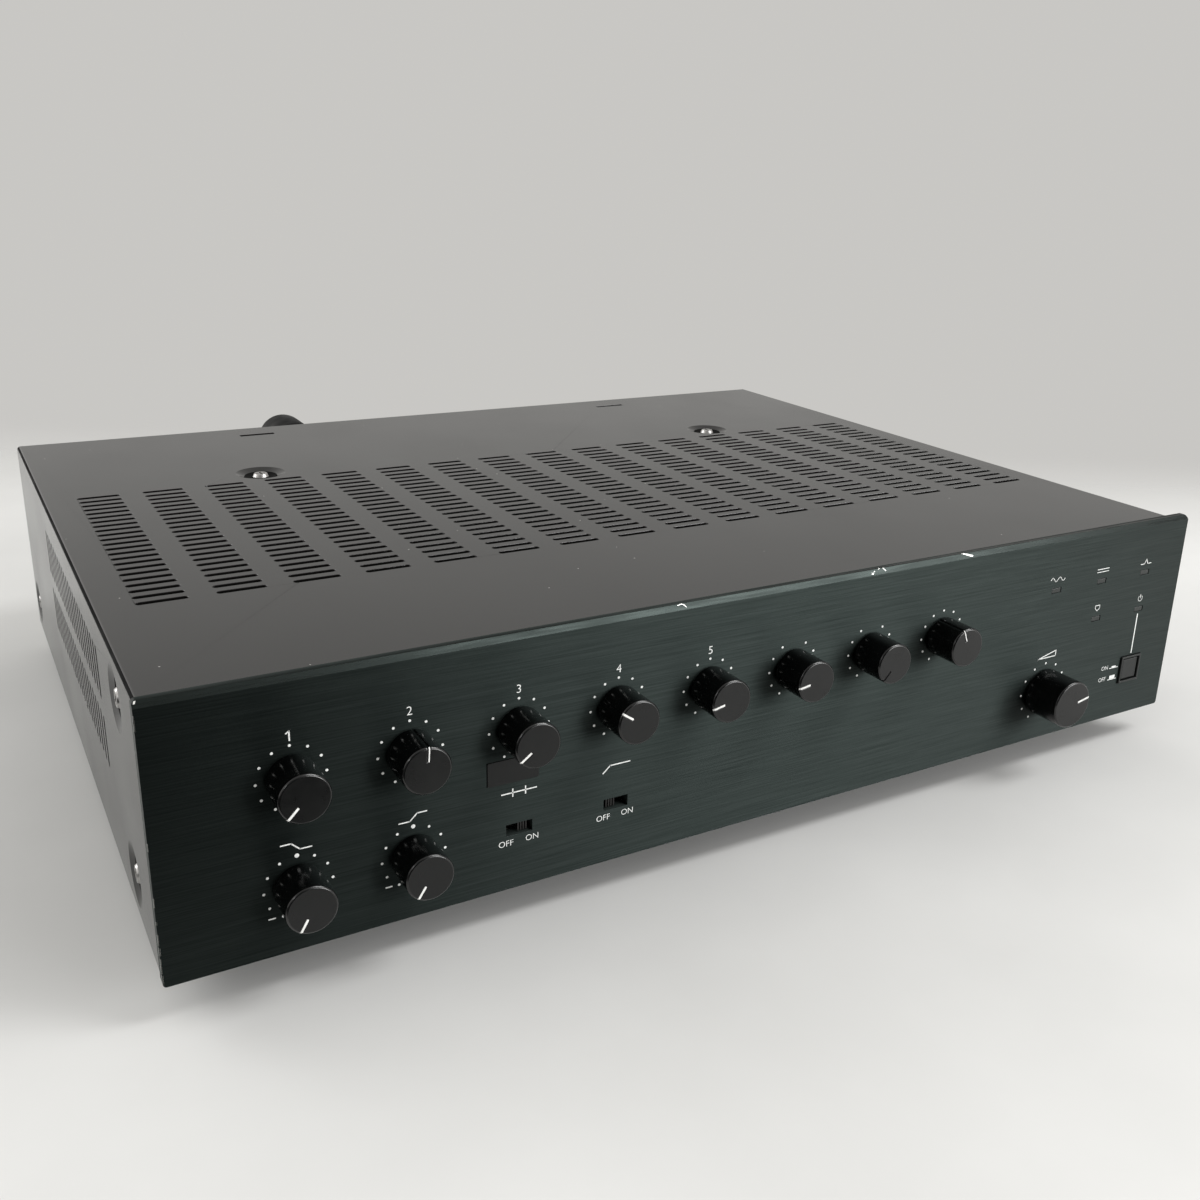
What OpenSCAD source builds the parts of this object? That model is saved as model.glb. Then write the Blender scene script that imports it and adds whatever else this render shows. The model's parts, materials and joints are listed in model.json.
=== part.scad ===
// Mixer amplifier: a black steel case behind a thick aluminium front panel with eight input knobs,
// two tone knobs, a master knob, two slide switches, five lamps and a square mains button.
// +Z is up, the front looks along -Y and the origin is on the table under the middle of the box.
// Depths are counted backwards from the front face of the panel, heights from its lower edge.

/* [Front panel] */
// Width of the panel
panel_w = 420; // [414:1:440]
// Height of the panel
panel_h = 87; // [84:0.5:95]
// Thickness of the panel
panel_t = 4; // [3:0.5:5]
// Bevel along the panel's upper front edge
panel_bevel = 1.7; // [0.5:0.1:2.5]
// Corner radius of the panel, seen from the front
panel_corner = 1.2; // [0.5:0.1:3]
// Gap between the panel and the subpanel behind it
sub_gap = 3; // [2.5:0.5:5]
// Diameter of the posts on the back of the panel
post_d = 7; // [6:0.5:9]

/* [Case] */
// Width of the case behind the panel
case_w = 412; // [404:1:412]
// Sideways place of the case behind the panel
case_shift = -3.5; // [-3.5:0.5:3.5]
// Depth from the panel's front face to the rear edge of the cover
case_depth = 317; // [312:1:350]
// Height of the cover
case_h = 86.5; // [84:0.5:95]
// Thickness of the sheet steel
sheet = 1.2; // [1:0.1:1.5]
// Outside radius of the cover's folds
fold_r = 1.6; // [1.6:0.1:4]
// Gap between the cover's front edge and the panel
seam_gap = 0.3; // [0.2:0.1:1]
// How far the rear panel sits inside the cover's rear edge
rear_inset = 0.5; // [0.3:0.1:2]
// Height of the chassis side flanges
flange_h = 18; // [17:0.5:24]
// Width of the flanges that are folded over
flange_w = 14; // [10:0.5:18]

/* [Cover screws] */
// Width of a drawn dimple at the cover's surface
dimple_d = 21; // [14:0.5:22]
// Width of a dimple's flat floor
dimple_floor_d = 10.5; // [9.5:0.5:12]
// Depth of a dimple
dimple_depth = 2; // [1.5:0.1:2.5]
// Diameter of the cover screws' thread
screw_d = 4; // [3:0.5:4]
// Half the distance between the two top screws
top_screw_x = 117.3; // [90:0.1:130]
// Depth of the two top screws
top_screw_depth = 225; // [224:0.5:230]
// Depth of the front side screws
side_screw_front = 40; // [34:0.5:50]
// Distance of the rear side screws from the cover's rear edge
side_screw_rear = 13; // [12:0.5:20]
// Height of the lower side screws
side_screw_low = 14; // [12.5:0.5:14.5]
// Height of the upper side screws
side_screw_high = 72; // [70:0.5:73]

/* [Vents] */
// Columns of slots in the top
vent_cols = 16; // [4:1:16]
// Rows of slots in the top and slots along each side band
vent_rows = 23; // [5:1:23]
// Distance of the outer columns of slots from the sides of the case
vent_edge = 12.75; // [12.5:0.05:40]
// Distance between rows
vent_pitch_y = 6.1; // [5:0.1:6.1]
// Length of a top slot
vent_len = 16; // [8:0.5:18]
// Width of a slot
vent_w = 2.6; // [1.5:0.1:3]
// Depth of the first row
vent_front = 76.5; // [60:0.5:76.5]
// Length of a side slot
side_vent_len = 18; // [8:0.5:20]
// Height of the lower band of side slots
side_vent_low = 33; // [24:0.5:34]
// Height of the upper band of side slots
side_vent_high = 57; // [56:0.5:60]
// Length of the two hook slots near the rear edge
hook_len = 16.5; // [10:0.5:20]
// Width of the hook slots
hook_w = 3; // [2.2:0.1:3.2]
// Half the distance between the hook slots
hook_x = 99.8; // [70:0.1:120]
// Distance of the hook slots from the cover's rear edge
hook_inset = 16; // [10:0.5:17]

/* [Feet] */
// Diameter of a foot
foot_d = 28; // [20:0.5:34]
// Height of a foot
foot_h = 13; // [10:0.5:18]
// Distance of the feet from the sides of the case
foot_inset_x = 38; // [34:0.5:45]
// Depth of the front feet
foot_front = 48; // [42:0.5:55]
// Distance of the rear feet from the cover's rear edge
foot_rear = 42; // [36:0.5:50]

/* [Knobs] */
// Diameter of the input and tone knobs
knob_d = 15; // [13:0.5:17]
// Distance from the panel to the face of a knob
knob_len = 14; // [13:0.5:18]
// Diameter of the master knob
master_knob_d = 19.5; // [16:0.5:24]
// Distance from the panel to the face of the master knob
master_knob_len = 16; // [14:0.5:20]
// Gap between a knob and the panel
knob_gap = 0.6; // [0.4:0.1:1]
// Bevel round the face of a knob
knob_rim = 0.5; // [0.2:0.1:1]
// Width of the pointer groove
pointer_w = 0.9; // [0.8:0.1:1.6]
// Depth of the pointer groove
pointer_depth = 0.4; // [0.2:0.1:0.6]
// Length of the pointer groove on an input knob's face
pointer_len = 4.6; // [3:0.1:6]
// Length of the pointer groove on the master knob's face
master_pointer_len = 6.6; // [4:0.1:8]
// Distance of the first input knob from the left inside of the case
input_edge = 35.4; // [34:0.1:38]
// Distance between input knobs
input_pitch = 34.9; // [30:0.1:35]
// Distance of the master knob from the right inside of the case
master_edge = 65.3; // [60:0.1:70]
// Height of the upper row of controls
upper_row = 56.2; // [52:0.1:58]
// Height of the lower row of controls
lower_row = 21.3; // [19:0.1:24]
// Pointer angles of the eight input knobs, clockwise from upright
input_rest = [-136, 4, -127, -55, -102, -99, -138, -21];
// Pointer angle of the bass knob
bass_rest = -150; // [-150:1:150]
// Pointer angle of the treble knob
treble_rest = -147; // [-150:1:150]
// Pointer angle of the master knob
master_rest = 79; // [-150:1:150]

/* [Potentiometers] */
// Diameter of a shaft
shaft_d = 6; // [4:0.5:6]
// Radial clearance of a shaft in its bush
shaft_clearance = 0.05; // [0.02:0.01:0.1]
// Length of shaft inside a knob
shaft_grip = 10; // [8:0.5:11]
// Diameter of a threaded bush
bush_d = 8; // [7.5:0.5:9]
// Clearance round a bush in the panel and the subpanel
bush_clearance = 0.3; // [0.1:0.1:1]
// Diameter of a potentiometer's body
pot_d = 16; // [14:0.5:18]
// Length of a potentiometer's body
pot_len = 12; // [10:0.5:14]
// Width of a bush nut across its flats
nut_af = 10.5; // [10:0.5:12]
// Thickness of a bush nut
nut_h = 2; // [1.5:0.1:2.3]

/* [Switches and lamps] */
// Width of a slide switch window
window_w = 9; // [8:0.5:12]
// Height of a slide switch window
window_h = 4; // [3.5:0.1:5]
// Width of a slide lever
lever_w = 3.2; // [2.5:0.1:4]
// Clearance above and below a slide lever
lever_gap = 0.4; // [0.3:0.1:0.6]
// Travel of a slide lever
lever_travel = 3; // [2:0.1:4]
// How far a slide lever's face lies behind the panel's face
lever_recess = 1.2; // [0.5:0.1:2]
// Distance of the mains button and the last lamps from the right inside of the case
button_edge = 12.3; // [11.5:0.1:17]
// Width of the mains button
button_w = 9; // [8:0.1:10]
// Gap round the mains button, inside its frame
button_gap = 0.6; // [0.3:0.1:1]
// Wall of the frame round the mains button
frame_wall = 0.9; // [0.7:0.1:1.4]
// How far the frame of the mains button stands out of the panel
frame_proud = 0.8; // [0.4:0.1:2]
// How far the mains button stands out of the panel
button_proud = 0.3; // [0.1:0.1:3]
// Travel of the mains button
button_travel = 3.5; // [2:0.1:4]
// Width of the mains button's stem
stem_w = 6; // [4:0.5:7]
// Distance between columns of lamps
lamp_pitch = 26.5; // [22:0.5:27]
// Height of the upper row of lamps
lamp_high = 64.8; // [62:0.1:68]
// Height of the lower row of lamps
lamp_low = 48.4; // [44:0.1:52]
// Width of a lamp
lamp_w = 5; // [4:0.1:6]
// Height of a lamp
lamp_h = 2; // [1.6:0.1:3]
// Clearance round a lamp in the panel
lamp_gap = 0.15; // [0.1:0.05:0.4]

/* [Inside] */
// Thickness of the circuit boards
board_t = 1.6; // [1:0.1:2]
// Width of an outer leg of the power transformer's core
power_leg = 15; // [12:0.5:15]
// Thickness of the power transformer's stack
power_stack = 50; // [36:1:56]
// Width of an outer leg of the output transformer's core
output_leg = 13; // [10:0.5:14]
// Thickness of the output transformer's stack
output_stack = 45; // [32:1:52]
// Width of the heat sink
sink_w = 130; // [100:1:150]
// Height of the heat sink
sink_h = 64; // [50:1:70]
// Number of heat sink fins
sink_fins = 15; // [8:1:18]
// Height of the posts under the amplifier board
board_post_h = 8; // [5:0.5:12]
// Diameter of a filter capacitor
capacitor_d = 35; // [25:1:40]
// Height of a filter capacitor
capacitor_h = 48; // [35:1:55]

/* [Rear] */
// Distance of the first bay's plate from the left inside of the case
bay_edge = 15; // [13:0.5:18]
// Gap between the bays' plates
bay_gap = 2; // [1:0.5:4]
// Gap between the last bay's plate and the terminal strip
strip_gap = 10.3; // [6:0.1:14]
// How far a plate laps over each side of its opening
bay_lap = 3.5; // [3:0.5:5]
// Height of a bay's opening
bay_h = 62; // [50:0.5:64]
// Height of a bay's cover plate
bay_plate_h = 78; // [74:0.5:78]
// Which bay holds the socket with the plug
socket_bay = 4; // [1:1:8]
// Height of the socket's axis
socket_high = 68.3; // [66:0.1:71]
// Diameter of the round plug
plug_d = 25.8; // [20:0.1:27]
// How far the plug reaches behind the cover's rear edge
plug_reach = 57; // [40:1:70]
// Radius of the round tail of the plug
plug_round = 4.5; // [2:0.5:8]
// Width of the speaker terminal strip
strip_w = 92; // [70:1:96]
// Number of speaker terminals
strip_count = 7; // [4:1:8]
// Bore of the gland for the mains lead
gland_bore = 8; // [6:0.5:10]

/* [Hidden] */
$fn = 48;

input_count = 8;
cut = 1;

// Y of the panel's front face, and places along the depth
front_y = master_knob_len - (master_knob_len + case_depth + plug_reach) / 2;
sub_front = panel_t + sub_gap;
sub_back = sub_front + sheet;
board_front = sub_back + pot_len;
cover_front = panel_t + seam_gap;
cover_len = case_depth - cover_front;
rear_back = case_depth - rear_inset;
rear_front = rear_back - sheet;
bulkhead_back = top_screw_depth + flange_w / 2;
bulkhead_front = bulkhead_back - sheet;

// Room inside the case: the dimple floors reach in to the flanges
inner_w = case_w - 2 * (dimple_depth + sheet);
flange_top = case_h - dimple_depth - sheet;
left_in = case_shift - inner_w / 2;
right_in = case_shift + inner_w / 2;
vent_pitch_x = (case_w - 2 * vent_edge - vent_len) / (vent_cols - 1);
ear_past = 8;
ear_back = side_screw_front + ear_past;
screw_hole_d = screw_d + 0.4;
thread_hole_d = screw_d + 0.1;
head_d = 2 * screw_d - 0.5;
head_h = dimple_depth - 0.2;
small_screw_d = 3;
small_thread_d = small_screw_d + 0.1;
small_head_d = 5.5;
small_head_h = 2;
recess_depth = 0.9;

// Places of the controls, in the room that is both inside the case and on the panel
panel_rim = 3.7;
room_left = max(left_in, panel_rim - panel_w / 2);
room_right = min(right_in, panel_w / 2 - panel_rim);
input_x = room_left + input_edge;
master_x = room_right - master_edge;
button_x = room_right - button_edge;
bass_x = input_x;
treble_x = input_x + input_pitch;
tone_x = input_x + 2 * input_pitch;
low_cut_x = input_x + 3 * input_pitch;
knob_places = concat(
    [for (i = [0:input_count - 1]) [input_x + i * input_pitch, upper_row]],
    [[bass_x, lower_row], [treble_x, lower_row], [master_x, lower_row]]);
lamp_places = [
    [button_x - 2 * lamp_pitch, lamp_high], [button_x - lamp_pitch, lamp_high], [button_x, lamp_high],
    [button_x - lamp_pitch, lamp_low], [button_x, lamp_low]];
post_edge = 16;
post_low = 6.5;
post_high = 8;
post_places = [
    for (x = [room_left + post_edge, input_x + 4.5 * input_pitch, button_x - lamp_pitch],
        z = [post_low, panel_h - post_high]) [x, z]];
bush_front = panel_t - 1.5;
thread_past = 2;
thread_short = 0.5;
shaft_seat = 6;
lever_h = window_h - 2 * lever_gap;
lever_seat = 3;
button_room = button_w + 2 * button_gap;
frame_w = button_room + 2 * frame_wall;
frame_gap = 0.2;
button_hole = frame_w + 2 * frame_gap;
button_back = sub_back - lever_gap - button_travel;
stem_seat = 6;
switch_w = 16;
switch_len = 28;
slide_rim = 4;
slide_w = window_w + 2 * slide_rim;
slide_h = window_h + 1.5 * slide_rim;

// Boards, transformers and rear pieces
board_edge = 10;
lug_w = 14;
lug_gap = 2.3;
winding_gap = 1;
power_x = right_in - lug_gap - lug_w - 3 * power_leg;
output_x = left_in + lug_gap + lug_w + 3 * output_leg;
transformer_depth = 118;
lug_t = 3;
lug_hole_d = 4.4;
sink_x = (power_x - 3 * power_leg + output_x + 3 * output_leg) / 2;
sink_base_t = 6;
sink_fin_t = 2;
transistor_w = 16;
transistor_h = 21;
transistor_t = 5;
capacitor_gap = 10;
sink_front = 172;
sink_back = bulkhead_front - flange_w - 2;
amp_board_front = 62;
amp_board_len = 98;
amp_board_inset = 6;
connector_len = 9;
strip_edge = 56.3;
strip_x = right_in - strip_edge;
bay_mid = 44;
bay_pitch = (strip_x - strip_w / 2 - strip_gap - left_in - bay_edge + bay_gap) / input_count;
bay_plate_w = bay_pitch - bay_gap;
bay_w = bay_plate_w - 2 * bay_lap;
bay_x = left_in + bay_edge + bay_plate_w / 2;
bay_screw_x = bay_plate_w / 2 - 4.5;
bay_screw_z = bay_plate_h / 2 - 4;
socket_shift = 3.6;
socket_x = bay_x + (socket_bay - 1) * bay_pitch - socket_shift;
socket_flange = 2;
socket_d = plug_d + 1;
socket_body_d = plug_d - 8;
socket_len = 18;
strip_mid = 64;
strip_h = 22;
strip_base = 7;
rib_t = 2;
rib_len = 14;
rib_span = strip_w * 0.84;
terminals = [for (i = [0:strip_count - 1]) strip_x + ((i + 0.5) / strip_count - 0.5) * rib_span];
phono_edge = 95.3;
phono_x = right_in - phono_edge;
phono_pitch = 16;
phono_mid = 27;
phono_d = 8.3;
phono_flange_d = 11.3;
phono_flange_t = 1.5;
phono_out = 9;
phono_in = 8;
phono_pin_d = 3.2;
fuse_edge = 33.3;
fuse_x = right_in - fuse_edge;
fuse_in = 26;
fuse_out = 11;
fuse_collar = 3;
coin_slot = 1.6;
gland_edge = 13.3;
gland_x = right_in - gland_edge;
gland_mid = 22;
gland_d = 15;
gland_len = 16;

// Place at a sideways position, a depth behind the panel's face and a height over its lower edge
module at(x, depth, z) {
    translate([x, front_y + depth, foot_h + z]) children();
}

// The same place with the children's +Z turned to the front
module facing_front(x, depth, z) {
    at(x, depth, z) rotate([90, 0, 0]) children();
}

// The same place with the children's +Z turned to the rear
module facing_rear(x, depth, z) {
    at(x, depth, z) rotate([-90, 0, 0]) children();
}

// A box that is centred sideways and in height, from one depth to another
module block(x, z, w, h, from, to) {
    at(x - w / 2, from, z - h / 2) cube([w, to - from, h]);
}

// A box between two sideways places, depths and heights
module span(x1, x2, from, to, z1, z2) {
    at(x1, from, z1) cube([x2 - x1, to - from, z2 - z1]);
}

// A slot outline with round ends, lying along X
module slot_outline(len, w) {
    square([len - w, w], center = true);
    for (s = [-1, 1]) translate([s * (len - w) / 2, 0]) circle(d = w);
}

// A pan-head screw with a cross recess: its head is on z = 0 and its shank goes down
module screw(d, len, wide, high) {
    difference() {
        union() {
            translate([0, 0, -len]) cylinder(d = d, h = len + high / 2);
            cylinder(d1 = wide, d2 = wide * 0.8, h = high);
        }
        for (a = [0, 90]) rotate([0, 0, a])
            translate([-wide * 0.28, -wide * 0.06, high - recess_depth])
                cube([wide * 0.56, wide * 0.12, cut + 1]);
    }
}

// The drawn dimple of a cover screw: the cover's surface is z = 0
module dimple() {
    rotate_extrude() polygon([
        [screw_hole_d / 2, -dimple_depth], [dimple_floor_d / 2, -dimple_depth], [dimple_d / 2, 0],
        [dimple_d / 2, -sheet], [dimple_floor_d / 2, -dimple_depth - sheet],
        [screw_hole_d / 2, -dimple_depth - sheet]]);
}

// Depths and heights of the three screws on each side of the cover
side_screws = [[side_screw_front, side_screw_low], [side_screw_front, side_screw_high],
    [case_depth - side_screw_rear, side_screw_low]];

// Puts children at every side screw, with +Z out of that side, at a distance inside the cover
module at_side_screws(inside) {
    for (s = [-1, 1], p = side_screws)
        at(case_shift + s * (case_w / 2 - inside), p[0], p[1]) rotate([0, s * 90, 0]) children();
}

// Puts children at the two top screws, at a distance under the cover
module at_top_screws(under) {
    for (s = [-1, 1]) at(case_shift + s * top_screw_x, top_screw_depth, case_h - under) children();
}

// Puts children at the four feet, on the underside of the case
module at_feet() {
    for (s = [-1, 1], d = [foot_front, case_depth - foot_rear])
        at(case_shift + s * (case_w / 2 - foot_inset_x), d, 0) children();
}

// Thick brushed panel with a bevelled upper edge and posts on its back
module front_panel() {
    color([0.10, 0.12, 0.12]) difference() {
        union() {
            intersection() {
                at(-panel_w / 2, 0, 0) rotate([90, 0, 90]) linear_extrude(panel_w) polygon([
                    [0, 0], [panel_t, 0], [panel_t, panel_h], [panel_bevel, panel_h],
                    [0, panel_h - panel_bevel]]);
                facing_rear(0, -cut, panel_h / 2) linear_extrude(panel_t + 2 * cut) {
                    square([panel_w - 2 * panel_corner, panel_h], center = true);
                    square([panel_w, panel_h - 2 * panel_corner], center = true);
                    for (x = [-1, 1], y = [-1, 1])
                        translate([x * (panel_w / 2 - panel_corner), y * (panel_h / 2 - panel_corner)])
                            circle(r = panel_corner);
                }
            }
            for (p = post_places) facing_rear(p[0], panel_t, p[1]) cylinder(d = post_d, h = sub_gap);
        }
        for (p = knob_places)
            facing_rear(p[0], -cut, p[1]) cylinder(d = bush_d + 2 * bush_clearance, h = panel_t + 2 * cut);
        for (x = [tone_x, low_cut_x]) block(x, lower_row, window_w, window_h, -cut, panel_t + cut);
        block(button_x, lower_row, button_hole, button_hole, -cut, panel_t + cut);
        for (p = lamp_places)
            block(p[0], p[1], lamp_w + 2 * lamp_gap, lamp_h + 2 * lamp_gap, -cut, panel_t + cut);
        for (p = post_places)
            facing_rear(p[0], panel_t / 2, p[1]) cylinder(d = small_thread_d, h = sub_front);
    }
}

// Sheet-steel plate behind the panel, with folded ears for the upper side screws
module front_subpanel() {
    color([0.62, 0.63, 0.62]) difference() {
        union() {
            span(left_in, right_in, sub_front, sub_back, sheet, flange_top);
            span(left_in + 2 * flange_w, right_in - 2 * flange_w, sub_front, sub_front + flange_w,
                sheet, 2 * sheet);
            for (x = [left_in, right_in - sheet]) span(x, x + sheet, sub_front, ear_back,
                side_screw_high - flange_w / 2, side_screw_high + flange_w / 2);
        }
        for (p = knob_places)
            facing_rear(p[0], sub_front - cut, p[1])
                cylinder(d = bush_d + 2 * bush_clearance, h = sheet + 2 * cut);
        for (x = [tone_x, low_cut_x])
            block(x, lower_row, window_w, window_h, sub_front - cut, sub_back + cut);
        block(button_x, lower_row, button_hole, button_hole, sub_front - cut, sub_back + cut);
        for (p = lamp_places)
            block(p[0], p[1], lamp_w + 2 * lamp_gap, lamp_h + 2 * lamp_gap,
                sub_front - cut, sub_back + cut);
        for (p = post_places)
            facing_rear(p[0], sub_front - cut, p[1]) cylinder(d = small_thread_d, h = sheet + 2 * cut);
        at_side_screws(case_w) cylinder(d = thread_hole_d, h = case_w);
    }
}

// Screws that hold the panel's posts to the subpanel, put in from behind
module panel_screws() {
    color([0.75, 0.75, 0.74])
        for (p = post_places) facing_rear(p[0], sub_back, p[1])
            screw(small_screw_d, sub_back - panel_t / 2 - thread_short, small_head_d, small_head_h);
}

// Places of the amplifier board's fixing posts
amp_posts = [for (x = [-1, 1], y = [-1, 1]) [sink_x + x * (sink_w / 2 - amp_board_inset),
    amp_board_front + amp_board_len / 2 + y * (amp_board_len / 2 - amp_board_inset)]];

// Folded tray that carries everything inside, with posts for the amplifier board
module bottom_chassis() {
    color([0.62, 0.63, 0.62]) difference() {
        union() {
            span(left_in, right_in, sub_front, rear_front, 0, sheet);
            for (x = [left_in, right_in - sheet])
                span(x, x + sheet, sub_back + seam_gap, rear_front, 0, flange_h);
            for (p = amp_posts) at(p[0], p[1], 0) cylinder(d = post_d, h = sheet + board_post_h);
        }
        at_side_screws(case_w) cylinder(d = thread_hole_d, h = case_w);
        at_feet() translate([0, 0, -cut]) cylinder(d = thread_hole_d, h = sheet + 2 * cut);
    }
}

// Cross wall under the two top screws, which also carries the input backplane
module bulkhead() {
    left = left_in + 2 * sheet;
    right = right_in - 2 * sheet;
    flange_front = bulkhead_back - flange_w;
    color([0.62, 0.63, 0.62]) difference() {
        union() {
            span(left, right, bulkhead_front, bulkhead_back, sheet, flange_top);
            span(left, right, flange_front, bulkhead_back, flange_top - sheet, flange_top);
            span(left, right, flange_front, bulkhead_back, sheet, 2 * sheet);
        }
        at_top_screws(case_h) cylinder(d = thread_hole_d, h = case_h);
    }
}

// Places of the bays' centres
bays = [for (i = [0:input_count - 1]) bay_x + i * bay_pitch];
phonos = [for (i = [0:2]) phono_x + i * phono_pitch];

// Rear plate with the openings of the input bays, folded over at its top and bottom
module rear_panel() {
    left = case_shift - case_w / 2 + sheet + seam_gap;
    right = case_shift + case_w / 2 - sheet - seam_gap;
    hook_mid = case_depth - hook_inset;
    hook_half = hook_w / 2 - seam_gap;
    color([0.13, 0.13, 0.13]) difference() {
        union() {
            span(left, right, rear_front, rear_back, 0, case_h - sheet);
            span(left + flange_w, right - flange_w, hook_mid - flange_w / 2, rear_back,
                case_h - 2 * sheet, case_h - sheet);
            span(left + flange_w, right - flange_w, rear_back - flange_w, rear_back, sheet, 2 * sheet);
            for (s = [-1, 1]) block(case_shift + s * hook_x, case_h - sheet, hook_len - 4 * seam_gap, sheet,
                hook_mid + hook_half - sheet, hook_mid + hook_half);
        }
        for (x = bays) block(x, bay_mid, bay_w, bay_h, rear_front - cut, rear_back + cut);
        facing_rear(socket_x, rear_front - cut, socket_high)
            cylinder(d = socket_body_d + 2 * bush_clearance, h = sheet + 2 * cut);
        for (x = bays, s = [-1, 1])
            facing_rear(x + s * bay_screw_x, rear_front - cut, bay_mid + s * bay_screw_z)
                cylinder(d = small_thread_d, h = sheet + 2 * cut);
        for (x = phonos)
            facing_rear(x, rear_front - cut, phono_mid) cylinder(d = phono_d, h = sheet + 2 * cut);
        facing_rear(fuse_x, rear_front - cut, gland_mid) cylinder(d = gland_d - 2, h = sheet + 2 * cut);
        facing_rear(gland_x, rear_front - cut, gland_mid) cylinder(d = gland_d - 2, h = sheet + 2 * cut);
        for (s = [-1, 1]) facing_rear(strip_x + s * strip_w * 0.46, rear_front - cut, strip_mid)
            cylinder(d = small_thread_d, h = sheet + 2 * cut);
    }
}

// The slotted top of the cover, as an outline over sideways place and depth
module cover_top_outline() {
    difference() {
        translate([fold_r - case_w / 2, cover_front]) square([case_w - 2 * fold_r, cover_len]);
        for (i = [0:vent_cols - 1], j = [0:vent_rows - 1])
            translate([(i - (vent_cols - 1) / 2) * vent_pitch_x, vent_front + j * vent_pitch_y])
                slot_outline(vent_len, vent_w);
        for (s = [-1, 1]) translate([s * top_screw_x, top_screw_depth]) circle(d = dimple_d);
        for (s = [-1, 1])
            translate([s * hook_x, case_depth - hook_inset]) square([hook_len, hook_w], center = true);
    }
}

// A slotted side of the cover, as an outline over depth and height
module cover_side_outline() {
    difference() {
        translate([cover_front, 0]) square([cover_len, case_h - fold_r]);
        for (z = [side_vent_low, side_vent_high], j = [0:vent_rows - 1])
            translate([vent_front + j * vent_pitch_y, z + side_vent_len / 2]) rotate([0, 0, 90])
                slot_outline(side_vent_len, vent_w);
        for (p = side_screws) translate(p) circle(d = dimple_d);
    }
}

// One folded sheet: the slotted top, the round folds and both slotted sides
module top_cover() {
    color([0.16, 0.16, 0.155]) {
        at(case_shift, 0, case_h - sheet) linear_extrude(sheet) cover_top_outline();
        for (s = [-1, 1]) {
            at(case_shift + s * (case_w / 2 - sheet / 2) - sheet / 2, 0, 0)
                rotate([90, 0, 90]) linear_extrude(sheet) cover_side_outline();
            facing_rear(case_shift + s * (case_w / 2 - fold_r), cover_front, case_h - fold_r)
                linear_extrude(cover_len) intersection() {
                    difference() {
                        circle(r = fold_r);
                        circle(r = fold_r - sheet);
                    }
                    translate([s * fold_r / 2, -fold_r / 2]) square(fold_r, center = true);
                }
        }
        at_top_screws(0) dimple();
        at_side_screws(0) dimple();
    }
}

// Two screws in the top of the cover and three in each side
module cover_screws() {
    color([0.55, 0.55, 0.54]) {
        at_top_screws(dimple_depth) screw(screw_d, 3 * sheet + thread_past, head_d, head_h);
        at_side_screws(dimple_depth) screw(screw_d, 3 * sheet + thread_past, head_d, head_h);
    }
}

// Moulded feet with a deep hole for the screw head
module feet() {
    color([0.06, 0.06, 0.06]) at_feet() rotate_extrude() polygon([
        [screw_hole_d / 2, 0], [foot_d / 2 - 1, 0], [foot_d / 2, -foot_h + 1], [foot_d / 2 - 1, -foot_h],
        [head_d / 2 + 1, -foot_h], [head_d / 2 + 1, -foot_h / 2], [screw_hole_d / 2, -foot_h / 2]]);
}

// Screws up through the feet into the chassis
module foot_screws() {
    color([0.70, 0.70, 0.69]) at_feet() translate([0, 0, -foot_h / 2]) rotate([180, 0, 0])
        screw(screw_d, foot_h / 2 + sheet + thread_past, head_d, head_h);
}

// A plain round knob with a bevelled face and a pointer groove, its back at z = 0
module knob_body(d, len, groove, rest) {
    high = len - knob_gap;
    bore_r = shaft_d / 2 + shaft_clearance;
    rotate([0, 0, -rest]) difference() {
        rotate_extrude() polygon([
            [bore_r, 0], [d / 2, 0], [d / 2, high - knob_rim], [d / 2 - knob_rim, high], [0, high],
            [0, shaft_grip + knob_rim], [bore_r, shaft_grip + knob_rim]]);
        translate([-pointer_w / 2, d / 2 - groove, high - pointer_depth])
            cube([pointer_w, groove + cut, cut]);
        translate([-pointer_w / 2, d / 2 - pointer_depth, -cut]) cube([pointer_w, cut, high + 2 * cut]);
    }
}

// An input or tone knob on the panel
module small_knob(x, z, rest) {
    color([0.05, 0.05, 0.05]) facing_front(x, -knob_gap, z) knob_body(knob_d, knob_len, pointer_len, rest);
}

module input_knob(i) {
    small_knob(input_x + (i - 1) * input_pitch, upper_row, input_rest[i - 1]);
}

module bass_knob() {
    small_knob(bass_x, lower_row, bass_rest);
}

module treble_knob() {
    small_knob(treble_x, lower_row, treble_rest);
}

module master_knob() {
    color([0.05, 0.05, 0.05]) facing_front(master_x, -knob_gap, lower_row)
        knob_body(master_knob_d, master_knob_len, master_pointer_len, master_rest);
}

// A potentiometer shaft, from its seat in the body to its end inside the knob
module shaft(x, z) {
    color([0.72, 0.73, 0.74]) facing_front(x, sub_back + shaft_seat, z)
        cylinder(d = shaft_d, h = sub_back + shaft_seat + knob_gap + shaft_grip);
}

module input_shaft(i) {
    shaft(input_x + (i - 1) * input_pitch, upper_row);
}

module bass_shaft() {
    shaft(bass_x, lower_row);
}

module treble_shaft() {
    shaft(treble_x, lower_row);
}

module master_shaft() {
    shaft(master_x, lower_row);
}

// The potentiometers' bodies and bushes, between the subpanel and the control board
module potentiometers() {
    color([0.55, 0.56, 0.55]) for (p = knob_places) facing_rear(p[0], 0, p[1]) difference() {
        union() {
            translate([0, 0, sub_back]) cylinder(d = pot_d, h = pot_len);
            translate([0, 0, bush_front]) cylinder(d = bush_d, h = sub_back - bush_front + cut);
        }
        translate([0, 0, bush_front - cut])
            cylinder(d = shaft_d + 2 * shaft_clearance, h = sub_back + shaft_seat + 0.3 - bush_front + cut);
    }
}

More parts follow.
